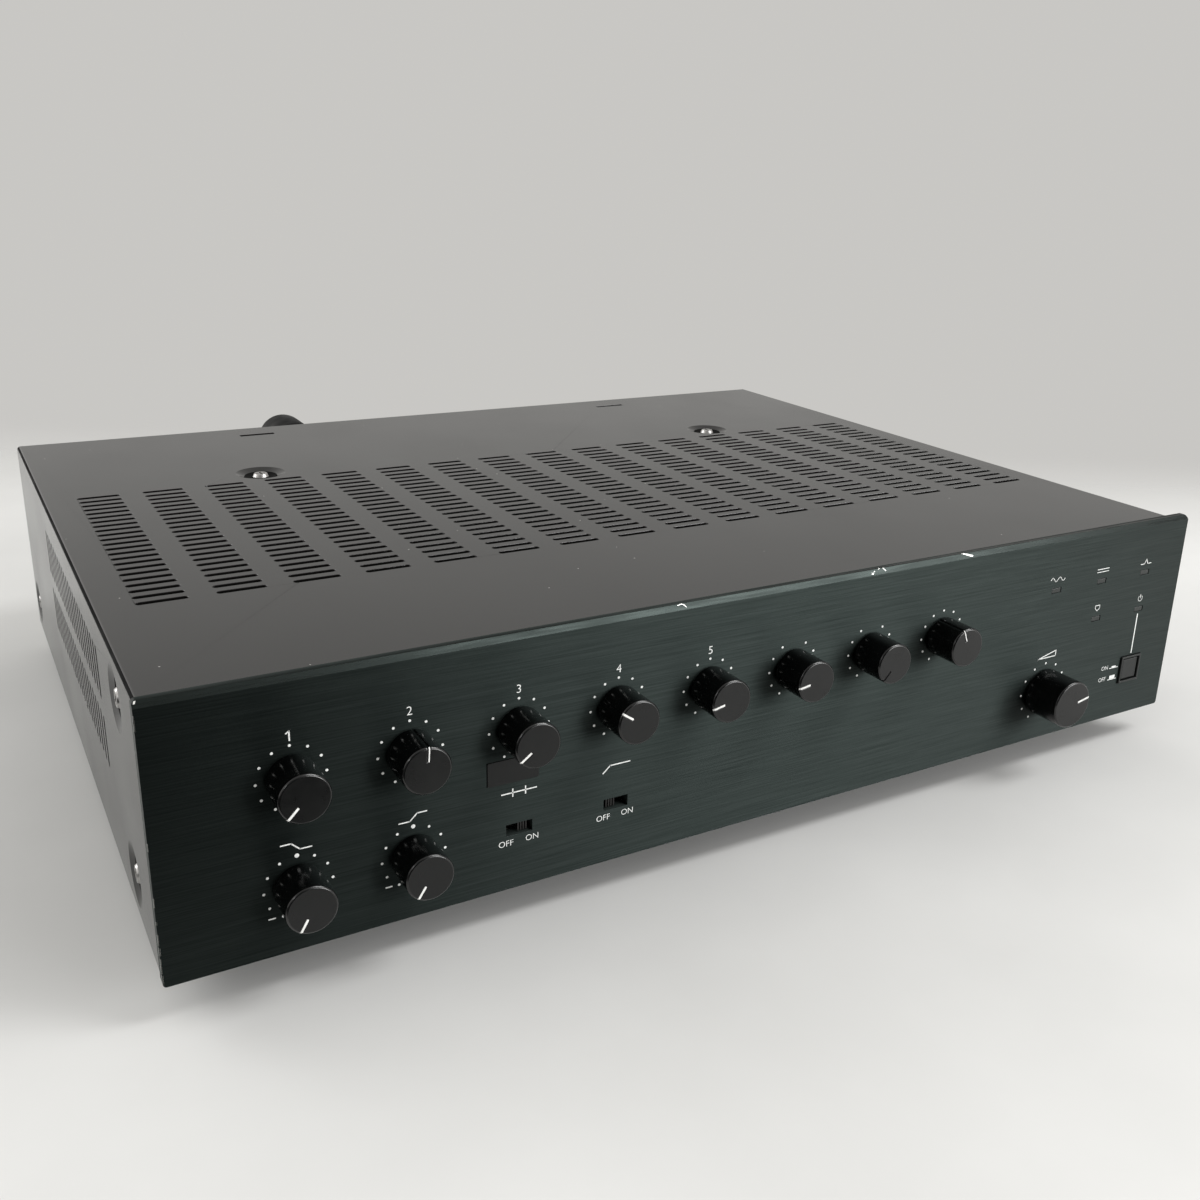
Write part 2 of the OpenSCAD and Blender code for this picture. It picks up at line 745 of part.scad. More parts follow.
// Hexagon nuts that clamp the bushes to the subpanel
module potentiometer_nuts() {
    color([0.76, 0.77, 0.78]) for (p = knob_places)
        facing_rear(p[0], sub_front - nut_h, p[1]) difference() {
            cylinder(d = nut_af / cos(30), h = nut_h, $fn = 6);
            translate([0, 0, -cut]) cylinder(d = bush_d, h = nut_h + 2 * cut);
        }
}

// A slide lever, seen in its window
module lever(x) {
    color([0.09, 0.08, 0.07]) block(x, lower_row, lever_w, lever_h, lever_recess, sub_back + lever_seat);
}

module tone_lever() {
    lever(tone_x + lever_travel / 2);
}

module low_cut_lever() {
    lever(low_cut_x - lever_travel / 2);
}

// Slide switch bodies with the track of their levers
module slide_switches() {
    color([0.30, 0.30, 0.31]) for (x = [tone_x, low_cut_x]) difference() {
        block(x, lower_row, slide_w, slide_h, sub_back, board_front);
        block(x, lower_row, lever_w + lever_travel + 2 * lever_gap, window_h, sub_back - cut,
            sub_back + lever_seat + lever_gap);
    }
}

// Square mains button with its stem
module power_button() {
    color([0.12, 0.13, 0.13]) {
        block(button_x, lower_row, button_w, button_w, -button_proud, button_back);
        block(button_x, lower_row, stem_w, stem_w, button_back - cut, sub_back + stem_seat);
    }
}

// Mains switch body with the bore of the stem, and the square frame that guides the button
module power_switch() {
    color([0.16, 0.16, 0.17]) difference() {
        union() {
            block(button_x, lower_row, switch_w, switch_w, sub_back, sub_back + switch_len);
            block(button_x, lower_row, frame_w, frame_w, -frame_proud, sub_back + cut);
        }
        block(button_x, lower_row, button_room, button_room, -frame_proud - cut, sub_back);
        block(button_x, lower_row, stem_w + 2 * lever_gap, stem_w + 2 * lever_gap, sub_back - cut,
            sub_back + stem_seat + button_travel + lever_gap);
    }
}

// Rectangular lamps from the panel's face back to the control board
module indicator_lamps() {
    color([0.10, 0.16, 0.13])
        for (p = lamp_places) block(p[0], p[1], lamp_w, lamp_h, lamp_gap, board_front);
}

// Circuit board that carries the controls, cut away round the mains switch
module control_board() {
    color([0.10, 0.30, 0.16]) difference() {
        span(input_x - pot_d, button_x + lamp_w, board_front, board_front + board_t,
            board_edge, panel_h - board_edge);
        block(button_x, lower_row, switch_w + 2 * board_t, 2 * switch_w,
            board_front - cut, board_front + board_t + cut);
    }
}

// A laminated transformer core with lugs to the chassis
module transformer_core(x, leg, stack) {
    front = transformer_depth - stack / 2;
    back = transformer_depth + stack / 2;
    difference() {
        union() {
            block(x, sheet + 2.5 * leg, 6 * leg, 5 * leg, front, back);
            block(x, sheet + lug_t / 2, 6 * leg + 2 * lug_w, lug_t, front, back);
        }
        for (s = [-1, 1])
            block(x + s * 1.5 * leg, sheet + 2.5 * leg, leg, 3 * leg, front - cut, back + cut);
        at_lugs(x, leg, stack)
            translate([0, 0, -lug_t - cut]) cylinder(d = lug_hole_d, h = lug_t + 2 * cut);
    }
}

// Puts children at a transformer's four lugs, on their upper face
module at_lugs(x, leg, stack) {
    for (s = [-1, 1], d = [-1, 1])
        at(x + s * (3 * leg + lug_w / 2), transformer_depth + d * (stack - lug_w) / 2, sheet + lug_t)
            children();
}

// The winding round a core's middle leg
module transformer_winding(x, leg, stack) {
    room = leg - winding_gap;
    difference() {
        block(x, sheet + 2.5 * leg, 2 * leg + 2 * room, 3 * leg, transformer_depth - stack / 2 - room,
            transformer_depth + stack / 2 + room);
        block(x, sheet + 2.5 * leg, 2 * leg, 3 * leg + 2 * cut, transformer_depth - stack / 2,
            transformer_depth + stack / 2);
    }
}

module power_transformer_core() {
    color([0.30, 0.29, 0.28]) transformer_core(power_x, power_leg, power_stack);
}

module output_transformer_core() {
    color([0.30, 0.29, 0.28]) transformer_core(output_x, output_leg, output_stack);
}

module transformer_windings() {
    color([0.55, 0.42, 0.16]) {
        transformer_winding(power_x, power_leg, power_stack);
        transformer_winding(output_x, output_leg, output_stack);
    }
}

// Screws through the transformers' lugs into the chassis
module transformer_screws() {
    color([0.70, 0.70, 0.69]) {
        at_lugs(power_x, power_leg, power_stack) screw(screw_d, lug_t, head_d, head_h);
        at_lugs(output_x, output_leg, output_stack) screw(screw_d, lug_t, head_d, head_h);
    }
}

// Extruded heat sink: an upright base with fins to the rear
module heat_sink() {
    color([0.60, 0.61, 0.62]) {
        block(sink_x, sheet + sink_h / 2, sink_w, sink_h, sink_front, sink_front + sink_base_t);
        for (i = [0:sink_fins - 1])
            block(sink_x + (i / (sink_fins - 1) - 0.5) * (sink_w - sink_fin_t), sheet + sink_h / 2,
                sink_fin_t, sink_h, sink_front + sink_base_t, sink_back);
    }
}

// Flat power transistors clamped to the front of the heat sink
module power_transistors() {
    color([0.08, 0.08, 0.08]) for (i = [0:3])
        block(sink_x + (i - 1.5) * sink_w / 4, sheet + sink_h * 0.6, transistor_w, transistor_h,
            sink_front - transistor_t, sink_front);
}

// Power amplifier board on the chassis posts
module amplifier_board() {
    color([0.12, 0.33, 0.17])
        span(sink_x - sink_w / 2, sink_x + sink_w / 2, amp_board_front, amp_board_front + amp_board_len,
            sheet + board_post_h, sheet + board_post_h + board_t);
}

// Two upright filter capacitors on the amplifier board
module filter_capacitors() {
    seat = sheet + board_post_h + board_t;
    color([0.10, 0.12, 0.22]) for (s = [-1, 1])
        at(sink_x + s * (capacitor_d + capacitor_gap) / 2, amp_board_front + amp_board_len / 2, seat)
            cylinder(d = capacitor_d, h = capacitor_h);
}

// Board on the rear of the bulkhead that joins the input modules
module input_backplane() {
    color([0.10, 0.30, 0.16])
        span(bays[0] - bay_w / 2, bays[input_count - 1] + bay_w / 2, bulkhead_front + sheet,
            bulkhead_front + sheet + board_t, bay_mid - bay_h / 2, bay_mid + bay_h / 2);
}

// A card connector for every input bay
module module_connectors() {
    color([0.15, 0.15, 0.16]) for (x = bays)
        block(x, bay_mid, connector_len, bay_h * 0.8, bulkhead_front + sheet + board_t,
            bulkhead_front + sheet + board_t + connector_len);
}

// Cover plates of the input bays, one of them with the socket's hole
module bay_plates() {
    color([0.14, 0.14, 0.14]) difference() {
        for (x = bays) block(x, bay_mid, bay_plate_w, bay_plate_h, rear_back, rear_back + sheet);
        for (x = bays, s = [-1, 1])
            facing_rear(x + s * bay_screw_x, rear_back - cut, bay_mid + s * bay_screw_z)
                cylinder(d = small_thread_d, h = sheet + 2 * cut);
        facing_rear(socket_x, rear_back - cut, socket_high) cylinder(d = socket_body_d, h = sheet + 2 * cut);
    }
}

// Screws of the cover plates and of the terminal strip
module rear_screws() {
    color([0.60, 0.60, 0.59]) {
        for (x = bays, s = [-1, 1])
            facing_rear(x + s * bay_screw_x, rear_back + sheet, bay_mid + s * bay_screw_z)
                screw(small_screw_d, 2 * sheet + thread_past, small_head_d, small_head_h);
        for (s = [-1, 1]) facing_rear(strip_x + s * strip_w * 0.46, rear_back + strip_base, strip_mid)
            screw(small_screw_d, strip_base + sheet + thread_past, small_head_d, small_head_h);
    }
}

// Round input socket: a flange outside its plate and a body through it
module input_socket() {
    color([0.20, 0.20, 0.21]) {
        facing_rear(socket_x, rear_back + sheet, socket_high) cylinder(d = socket_d, h = socket_flange);
        facing_rear(socket_x, rear_back + sheet - socket_len, socket_high)
            cylinder(d = socket_body_d, h = socket_len + cut);
    }
}

// Round moulded plug that stands in the socket, with a soft round tail
module rear_plug() {
    len = plug_reach - sheet + rear_inset - socket_flange;
    color([0.07, 0.07, 0.07]) facing_rear(socket_x, rear_back + sheet + socket_flange, socket_high)
        rotate_extrude() union() {
            square([plug_d / 2, len - plug_round]);
            square([plug_d / 2 - plug_round, len]);
            intersection() {
                translate([plug_d / 2 - plug_round, len - plug_round]) circle(r = plug_round);
                square([plug_d, plug_reach]);
            }
        }
}

// Speaker terminal strip: a base with upright ribs between the screws
module speaker_terminals() {
    color([0.08, 0.08, 0.08]) difference() {
        union() {
            block(strip_x, strip_mid, strip_w, strip_h, rear_back, rear_back + strip_base);
            for (i = [0:strip_count])
                block(strip_x + (i / strip_count - 0.5) * rib_span, strip_mid, rib_t, strip_h,
                    rear_back, rear_back + rib_len);
        }
        for (s = [-1, 1]) facing_rear(strip_x + s * strip_w * 0.46, rear_back - cut, strip_mid)
            cylinder(d = small_thread_d, h = strip_base + 2 * cut);
        for (x = terminals)
            facing_rear(x, rear_back + cut, strip_mid) cylinder(d = thread_hole_d, h = strip_base);
    }
}

// Binding screws of the speaker terminals
module terminal_screws() {
    color([0.72, 0.70, 0.62]) for (x = terminals)
        facing_rear(x, rear_back + strip_base, strip_mid)
            screw(screw_d, strip_base - thread_past, head_d, head_h + cut);
}

// Phono sockets: a flange, a barrel outside and a body inside the rear panel
module phono_sockets() {
    color([0.70, 0.70, 0.70]) for (x = phonos) facing_rear(x, rear_back, phono_mid) difference() {
        union() {
            translate([0, 0, -phono_in]) cylinder(d = phono_d, h = phono_in + cut);
            cylinder(d = phono_flange_d, h = phono_flange_t);
            cylinder(d = phono_d, h = phono_out);
        }
        translate([0, 0, -phono_in / 4]) cylinder(d = phono_pin_d, h = phono_in / 4 + phono_out + cut);
    }
}

// Fuse holder with a fluted cap
module fuse_holder() {
    color([0.09, 0.09, 0.09]) facing_rear(fuse_x, rear_back, gland_mid) difference() {
        union() {
            translate([0, 0, -fuse_in]) cylinder(d = gland_d - 2, h = fuse_in + cut);
            cylinder(d = gland_d + 2, h = fuse_collar);
            cylinder(d = gland_d - 1, h = fuse_out);
        }
        translate([-gland_d / 2, -coin_slot / 2, fuse_out - coin_slot])
            cube([gland_d, coin_slot, coin_slot + cut]);
    }
}

// Gland for the mains lead: a collar outside, a barrel through the rear panel, a plain bore
module mains_gland() {
    color([0.06, 0.06, 0.06]) facing_rear(gland_x, rear_back, gland_mid) difference() {
        union() {
            translate([0, 0, -gland_len / 2]) cylinder(d = gland_d - 2, h = gland_len / 2 + cut);
            cylinder(d1 = gland_d + 1, d2 = gland_d - 2, h = gland_len / 2);
        }
        translate([0, 0, -gland_len]) cylinder(d = gland_bore, h = 2 * gland_len);
    }
}

front_panel();
front_subpanel();
panel_screws();
bottom_chassis();
bulkhead();
rear_panel();
top_cover();
cover_screws();
feet();
foot_screws();
input_knob(1);  // input_knob_1
input_knob(2);  // input_knob_2
input_knob(3);  // input_knob_3
input_knob(4);  // input_knob_4
input_knob(5);  // input_knob_5
input_knob(6);  // input_knob_6
input_knob(7);  // input_knob_7
input_knob(8);  // input_knob_8
bass_knob();
treble_knob();
master_knob();
input_shaft(1);  // input_shaft_1
input_shaft(2);  // input_shaft_2
input_shaft(3);  // input_shaft_3
input_shaft(4);  // input_shaft_4
input_shaft(5);  // input_shaft_5
input_shaft(6);  // input_shaft_6
input_shaft(7);  // input_shaft_7
input_shaft(8);  // input_shaft_8
bass_shaft();
treble_shaft();
master_shaft();
potentiometers();
potentiometer_nuts();
tone_lever();
low_cut_lever();
slide_switches();
power_button();
power_switch();
indicator_lamps();
control_board();
power_transformer_core();
output_transformer_core();
transformer_windings();
transformer_screws();
heat_sink();
power_transistors();
amplifier_board();
filter_capacitors();
input_backplane();
module_connectors();
bay_plates();
rear_screws();
input_socket();
rear_plug();
speaker_terminals();
terminal_screws();
phono_sockets();
fuse_holder();
mains_gland();
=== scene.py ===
import json
import math

import bmesh
import bpy
from mathutils import Matrix, Vector

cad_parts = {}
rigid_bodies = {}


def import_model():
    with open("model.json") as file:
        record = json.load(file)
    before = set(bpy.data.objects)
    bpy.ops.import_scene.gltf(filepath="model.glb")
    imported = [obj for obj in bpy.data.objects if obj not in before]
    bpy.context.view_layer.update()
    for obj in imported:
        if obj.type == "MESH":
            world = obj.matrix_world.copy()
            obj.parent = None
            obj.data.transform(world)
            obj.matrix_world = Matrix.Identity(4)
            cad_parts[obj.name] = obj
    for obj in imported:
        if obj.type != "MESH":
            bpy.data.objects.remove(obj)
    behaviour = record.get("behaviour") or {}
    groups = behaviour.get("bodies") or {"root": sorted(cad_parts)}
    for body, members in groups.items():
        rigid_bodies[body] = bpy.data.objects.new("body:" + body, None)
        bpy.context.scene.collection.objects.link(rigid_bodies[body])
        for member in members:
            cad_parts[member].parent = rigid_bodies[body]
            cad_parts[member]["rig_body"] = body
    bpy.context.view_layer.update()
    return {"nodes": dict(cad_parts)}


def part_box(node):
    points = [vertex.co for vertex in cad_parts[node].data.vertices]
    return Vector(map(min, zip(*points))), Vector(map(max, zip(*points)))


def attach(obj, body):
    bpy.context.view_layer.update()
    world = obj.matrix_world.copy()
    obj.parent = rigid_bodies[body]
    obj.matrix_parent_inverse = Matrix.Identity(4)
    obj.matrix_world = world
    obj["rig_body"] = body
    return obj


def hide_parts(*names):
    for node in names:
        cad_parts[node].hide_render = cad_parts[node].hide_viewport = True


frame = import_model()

# Bottom chassis: a folded tray of sheet steel, painted dull black, that carries everything inside the case.
# It is laid down first, so the plain ways of finishing a piece start here.
MM = 0.001


def step(tree, kind, values=(), **settings):
    """One node of a tree, with its settings, its values and the sockets that feed it."""
    made = tree.nodes.new(kind)
    for name, value in settings.items():
        setattr(made, name, value)
    for socket, value in dict(values).items():
        if isinstance(value, bpy.types.NodeSocket):
            tree.links.new(value, made.inputs[socket])
        else:
            made.inputs[socket].default_value = value
    return made


def finish(name, colour, roughness, metallic=0.0, specular=0.5):
    """A new finish with its plain values on the shader's own sockets."""
    made = bpy.data.materials.new(name)
    made.use_nodes = True
    shader = made.node_tree.nodes["Principled BSDF"]
    shader.inputs["Base Color"].default_value = (*colour, 1)
    shader.inputs["Roughness"].default_value = roughness
    shader.inputs["Metallic"].default_value = metallic
    shader.inputs["Specular IOR Level"].default_value = specular
    return made


def pattern(made, kind, stretch, values):
    """A texture on the piece's own coordinates, in metres, with one scale or one for each axis."""
    tree = made.node_tree
    scale = stretch if isinstance(stretch, tuple) else (stretch,) * 3
    place = step(tree, "ShaderNodeTexCoord").outputs["Object"]
    scaled = step(tree, "ShaderNodeMapping", {"Vector": place, "Scale": scale}).outputs[0]
    return step(tree, kind, {"Vector": scaled, **values})


def noise(made, stretch, detail=2.0, roughness=0.5):
    values = {"Scale": 1.0, "Detail": detail, "Roughness": roughness}
    return pattern(made, "ShaderNodeTexNoise", stretch, values).outputs["Fac"]


def ramp(made, fac, stops):
    """Colours or greys along a pattern's values."""
    band = step(made.node_tree, "ShaderNodeValToRGB", {"Fac": fac})
    for i, (place, colour) in enumerate(stops):
        mark = band.color_ramp.elements[i] if i < 2 else band.color_ramp.elements.new(place)
        mark.position = place
        mark.color = (*colour, 1) if isinstance(colour, tuple) else (colour, colour, colour, 1)
    return band.outputs["Color"]


def feed(made, socket, value):
    made.node_tree.links.new(value, made.node_tree.nodes["Principled BSDF"].inputs[socket])


def uneven(made, stretch, low, high, detail=2.0):
    """A roughness that wanders between two values over the surface."""
    feed(made, "Roughness", ramp(made, noise(made, stretch, detail), [(0.3, low), (0.7, high)]))


def relief(made, height, depth):
    """Fine unevenness of a surface, its depth in millimetres."""
    values = {"Height": height, "Distance": depth * MM, "Strength": 1.0}
    feed(made, "Normal", step(made.node_tree, "ShaderNodeBump", values).outputs["Normal"])


def dress(made, *nodes):
    """Gives a finish to pieces that keep their own form."""
    for name in nodes:
        frame["nodes"][name].data.materials.clear()
        frame["nodes"][name].data.materials.append(made)


chassis_black = finish("chassis_black", (0.012, 0.012, 0.0115), 0.5, 0.0, 0.3)
uneven(chassis_black, 30, 0.42, 0.58, 4.0)
relief(chassis_black, noise(chassis_black, 1400), 0.02)
dress(chassis_black, "bottom_chassis")

# Feet: four moulded rubber feet with a deep hole for a screw, screwed up into the chassis.
# Pan-head screws hold most pieces of the case, so the tree that makes them stands here.
def plain_piece(name, mesh, made=None):
    """A finished mesh as an object at the origin."""
    piece = bpy.data.objects.new(name, mesh)
    bpy.context.scene.collection.objects.link(piece)
    if made:
        mesh.materials.clear()
        mesh.materials.append(made)
    return piece


def smooth(mesh):
    """Smooth shading that keeps every edge of more than 35 degrees sharp."""
    mesh.polygons.foreach_set("use_smooth", [True] * len(mesh.polygons))
    mesh.set_sharp_from_angle(angle=math.radians(35))


def evaluated_mesh(piece):
    """The plain mesh that a piece's modifiers give."""
    graph = bpy.context.evaluated_depsgraph_get()
    ready = piece.evaluated_get(graph)
    return bpy.data.meshes.new_from_object(ready, preserve_all_data_layers=True, depsgraph=graph)


def softened(node, made, width, segments=2, slotted=False):
    """A piece in its own form with a small round along every edge, in millimetres."""
    mesh = frame["nodes"][node].data.copy()
    work = bmesh.new()
    work.from_mesh(mesh)
    bmesh.ops.remove_doubles(work, verts=work.verts, dist=2e-6)
    if not slotted:
        bmesh.ops.dissolve_limit(work, angle_limit=math.radians(0.5), verts=work.verts, edges=work.edges)
    work.to_mesh(mesh)
    work.free()
    piece = plain_piece(node + "_finished", mesh, made)
    edge = piece.modifiers.new("edge", "BEVEL")
    edge.width = width * MM
    edge.segments = segments
    edge.limit_method = "ANGLE"
    edge.angle_limit = math.radians(40)
    rounded = evaluated_mesh(piece)
    piece.modifiers.remove(edge)
    piece.data = rounded
    smooth(rounded)
    if slotted:
        for face in rounded.polygons:
            face.use_smooth = max(abs(c) for c in face.normal) < 0.9999
    level = piece.modifiers.new("level", "WEIGHTED_NORMAL")
    level.keep_sharp = True
    level.weight = 100
    flat = evaluated_mesh(piece)
    piece.modifiers.remove(level)
    piece.data = flat
    body = frame["nodes"][node]["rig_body"]
    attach(piece, body)
    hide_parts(node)
    return piece


def new_tree(name, measures, number):
    """An empty tree that takes points, some measures, a whole number and a finish."""
    tree = bpy.data.node_groups.new(name, "GeometryNodeTree")
    kinds = {"Geometry": "Geometry", **dict.fromkeys(measures, "Float")}
    kinds.update({number: "Int", "Material": "Material"})
    for socket, kind in kinds.items():
        tree.interface.new_socket(socket, in_out="INPUT", socket_type="NodeSocket" + kind)
    tree.interface.new_socket("Geometry", in_out="OUTPUT", socket_type="NodeSocketGeometry")
    return tree, tree.nodes.new("NodeGroupInput").outputs


def end_tree(tree, placed, made):
    """Makes what a tree has placed into plain mesh with a finish, as the tree's result."""
    real = step(tree, "GeometryNodeRealizeInstances", {"Geometry": placed}).outputs[0]
    painted = step(tree, "GeometryNodeSetMaterial", {"Geometry": real, "Material": made}).outputs[0]
    tree.links.new(painted, tree.nodes.new("NodeGroupOutput").inputs[0])


def sum_of(tree, kind, *values):
    """One sum on numbers or sockets."""
    return step(tree, "ShaderNodeMath", dict(enumerate(values)), operation=kind).outputs[0]


screw_measures = ("Head width", "Head height", "Shank width", "Shank length")


def screw_tree():
    """Pan-head screws on points: each point's 'out' is the way its head looks."""
    tree, given = new_tree("pan_head_screws", screw_measures, "Seed")

    def times(a, b):
        return sum_of(tree, "MULTIPLY", a, b)

    def along(x=0.0, y=0.0, z=0.0):
        return step(tree, "ShaderNodeCombineXYZ", {"X": x, "Y": y, "Z": z}).outputs[0]

    def moved(mesh, place, turn=(0, 0, 0)):
        values = {"Geometry": mesh, "Translation": place, "Rotation": turn}
        return step(tree, "GeometryNodeTransform", values).outputs[0]

    wide, high = given["Head width"], given["Head height"]
    shank_wide, shank_long = given["Shank width"], given["Shank length"]
    head = step(tree, "GeometryNodeMeshCone", {
        "Vertices": 28, "Side Segments": 4, "Radius Top": times(wide, 0.36),
        "Radius Bottom": times(wide, 0.5), "Depth": high}).outputs["Mesh"]
    bar = step(tree, "GeometryNodeMeshCube", {
        "Size": along(times(wide, 0.56), times(wide, 0.11), times(high, 1.1))}).outputs["Mesh"]
    cut = step(tree, "GeometryNodeMeshBoolean", {"Mesh 1": head, "Mesh 2": moved(bar, along(z=high))},
               operation="DIFFERENCE", solver="EXACT")
    tree.links.new(moved(bar, along(z=high), (0, 0, math.pi / 2)), cut.inputs["Mesh 2"])
    shank = step(tree, "GeometryNodeMeshCylinder", {
        "Vertices": 16, "Radius": times(shank_wide, 0.5), "Depth": shank_long}).outputs["Mesh"]
    whole = step(tree, "GeometryNodeJoinGeometry")
    tree.links.new(cut.outputs["Mesh"], whole.inputs[0])
    tree.links.new(moved(shank, along(z=times(shank_long, -0.5))), whole.inputs[0])
    out = step(tree, "GeometryNodeInputNamedAttribute", {"Name": "out"}, data_type="FLOAT_VECTOR")
    facing = step(tree, "FunctionNodeAlignRotationToVector", {"Vector": out.outputs["Attribute"]}, axis="Z")
    angle = step(tree, "FunctionNodeRandomValue", {2: 0.0, 3: 3.1, "Seed": given["Seed"]}, data_type="FLOAT")
    spin = step(tree, "FunctionNodeAxisAngleToRotation", {"Axis": (0, 0, 1), "Angle": angle.outputs[1]})
    turns = {"Rotation": facing.outputs["Rotation"], "Rotate By": spin.outputs["Rotation"]}
    driven = step(tree, "FunctionNodeRotateRotation", turns, rotation_space="LOCAL")
    placed = step(tree, "GeometryNodeInstanceOnPoints", {
        "Points": given["Geometry"], "Instance": whole.outputs[0], "Rotation": driven.outputs[0]}).outputs[0]
    end_tree(tree, placed, given["Material"])
    return tree


def grown(name, tree, mesh, values):
    """Runs a tree on a mesh and keeps the result as a plain mesh."""
    piece = plain_piece(name, mesh)
    made = piece.modifiers.new("made", "NODES")
    made.node_group = tree
    for socket in tree.interface.items_tree:
        if socket.in_out == "INPUT" and socket.name in values:
            made[socket.identifier] = values[socket.name]
    result = evaluated_mesh(piece)
    piece.modifiers.remove(made)
    piece.data = result
    smooth(result)
    return piece


def points(name, places, ways=None):
    """A mesh of loose points, with the way that each one looks."""
    mesh = bpy.data.meshes.new(name)
    mesh.from_pydata([tuple(p) for p in places], [], [])
    if ways:
        looks = mesh.attributes.new("out", "FLOAT_VECTOR", "POINT")
        looks.data.foreach_set("vector", [c for w in ways for c in w])
    return mesh


pan_heads = screw_tree()
screw_steel = finish("screw_steel", (0.33, 0.33, 0.32), 0.34, 1.0)
uneven(screw_steel, 900, 0.24, 0.46)


def screws(node, places, ways, head, shank, seed, made=screw_steel):
    """A group of screws: the head's width and height, the shank's width and length, in millimetres."""
    values = {name: size * MM for name, size in zip(screw_measures, head + shank)}
    values.update({"Seed": seed, "Material": made})
    piece = grown(node + "_finished", pan_heads, points(node, places, ways), values)
    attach(piece, "case")
    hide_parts(node)


foot_rubber = finish("foot_rubber", (0.012, 0.012, 0.012), 0.62)
relief(foot_rubber, noise(foot_rubber, 1500), 0.05)
uneven(foot_rubber, 200, 0.5, 0.75)
softened("feet", foot_rubber, 0.8, 3)
feet_low, feet_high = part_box("feet")
foot_middle = 14 * MM
foot_places = [(x, y, (feet_low.z + feet_high.z) / 2)
               for x in (feet_low.x + foot_middle, feet_high.x - foot_middle)
               for y in (feet_low.y + foot_middle, feet_high.y - foot_middle)]
screws("foot_screws", foot_places, [(0, 0, -1)] * 4, head=(7.5, 1.8), shank=(4, 9.6), seed=3)

# Transformers: stacks of varnished steel laminations round a taped winding, screwed down by their lugs.
# They are seen only as dark forms through the vents.
def coloured(made, fac, stops):
    """A colour that follows a pattern."""
    feed(made, "Base Color", ramp(made, fac, stops))


lamination = finish("lamination", (0.10, 0.095, 0.09), 0.5, 0.6)
sheets = pattern(lamination, "ShaderNodeTexWave", 1, {"Scale": 620.0, "Distortion": 0.6, "Detail": 2.0})
sheets.bands_direction = "Y"
coloured(lamination, sheets.outputs["Fac"], [(0.2, (0.05, 0.047, 0.045)), (0.8, (0.15, 0.14, 0.13))])
relief(lamination, sheets.outputs["Fac"], 0.08)
dress(lamination, "power_transformer_core", "output_transformer_core")
winding_tape = finish("winding_tape", (0.42, 0.27, 0.05), 0.45)
wraps = pattern(winding_tape, "ShaderNodeTexWave", 1, {"Scale": 60.0, "Distortion": 0.3})
wraps.bands_direction = "Z"
coloured(winding_tape, wraps.outputs["Fac"], [(0.1, (0.27, 0.16, 0.03)), (0.6, (0.44, 0.29, 0.06))])
relief(winding_tape, wraps.outputs["Fac"], 0.15)
dress(winding_tape, "transformer_windings")
dress(screw_steel, "transformer_screws", "panel_screws")

# Amplifier board: a green circuit board on four posts, with two upright filter capacitors.
# The extruded heat sink with its power transistors stands behind it.
board_green = finish("board_green", (0.02, 0.11, 0.045), 0.38)
tracks = pattern(board_green, "ShaderNodeTexBrick", 90, {"Scale": 1.0, "Mortar Size": 0.03})
coloured(board_green, tracks.outputs["Fac"], [(0.0, (0.02, 0.11, 0.045)), (1.0, (0.035, 0.17, 0.07))])
dress(board_green, "amplifier_board")
sink_aluminium = finish("sink_aluminium", (0.55, 0.55, 0.56), 0.4, 1.0)
uneven(sink_aluminium, (900, 900, 12), 0.3, 0.5)
dress(sink_aluminium, "heat_sink")
moulding_black = finish("moulding_black", (0.014, 0.014, 0.014), 0.45)
relief(moulding_black, noise(moulding_black, 2200), 0.02)
uneven(moulding_black, 150, 0.36, 0.52)
dress(moulding_black, "power_transistors")
capacitor_sleeve = finish("capacitor_sleeve", (0.012, 0.016, 0.05), 0.28)
uneven(capacitor_sleeve, (80, 80, 300), 0.2, 0.36)
softened("filter_capacitors", capacitor_sleeve, 1.6, 3)

# Bulkhead: a cross wall of zinc-plated sheet under the two top screws of the cover.
# The input backplane is on its rear, with one black card connector for each bay.
zinc_plate = finish("zinc_plate", (0.46, 0.46, 0.43), 0.36, 1.0)
spangle = pattern(zinc_plate, "ShaderNodeTexVoronoi", 140, {"Scale": 1.0}).outputs["Color"]
coloured(zinc_plate, spangle, [(0.2, (0.36, 0.36, 0.33)), (0.8, (0.53, 0.53, 0.5))])
uneven(zinc_plate, 60, 0.28, 0.48)
dress(zinc_plate, "bulkhead")
dress(board_green, "input_backplane")
dress(moulding_black, "module_connectors")

# Rear panel: painted sheet steel with eight bays, each closed by a plate on two screws.
# The same satin black paint covers the rear, the plates and the cover.
# From here on places are counted from the front panel's face and lower edge.
panel_low, panel_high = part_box("front_panel")


def at(x, depth, z):
    """A place in millimetres: sideways, behind the panel's face, above the panel's lower edge."""
    return Vector((x * MM, panel_low.y + depth * MM, panel_low.z + z * MM))


def mixed(made, fac, first, second):
    """Two colours laid over each other by a mask."""
    return step(made.node_tree, "ShaderNodeMix", {0: fac, 6: first, 7: second}, data_type="RGBA").outputs[2]


def specks(made, colour_below, apart, radius, share, colour):
    """Loose dust and tiny paint marks: light grains, by their distance and radius in millimetres."""
    grains = pattern(made, "ShaderNodeTexVoronoi", 1 / (apart * MM), {"Scale": 1.0})
    tree = made.node_tree
    near = sum_of(tree, "LESS_THAN", grains.outputs["Distance"], radius / apart)
    pick = step(tree, "ShaderNodeSeparateColor", {"Color": grains.outputs["Color"]}).outputs[0]
    chosen = sum_of(tree, "GREATER_THAN", pick, 1 - share)
    return mixed(made, sum_of(tree, "MULTIPLY", near, chosen), colour_below, (*colour, 1))


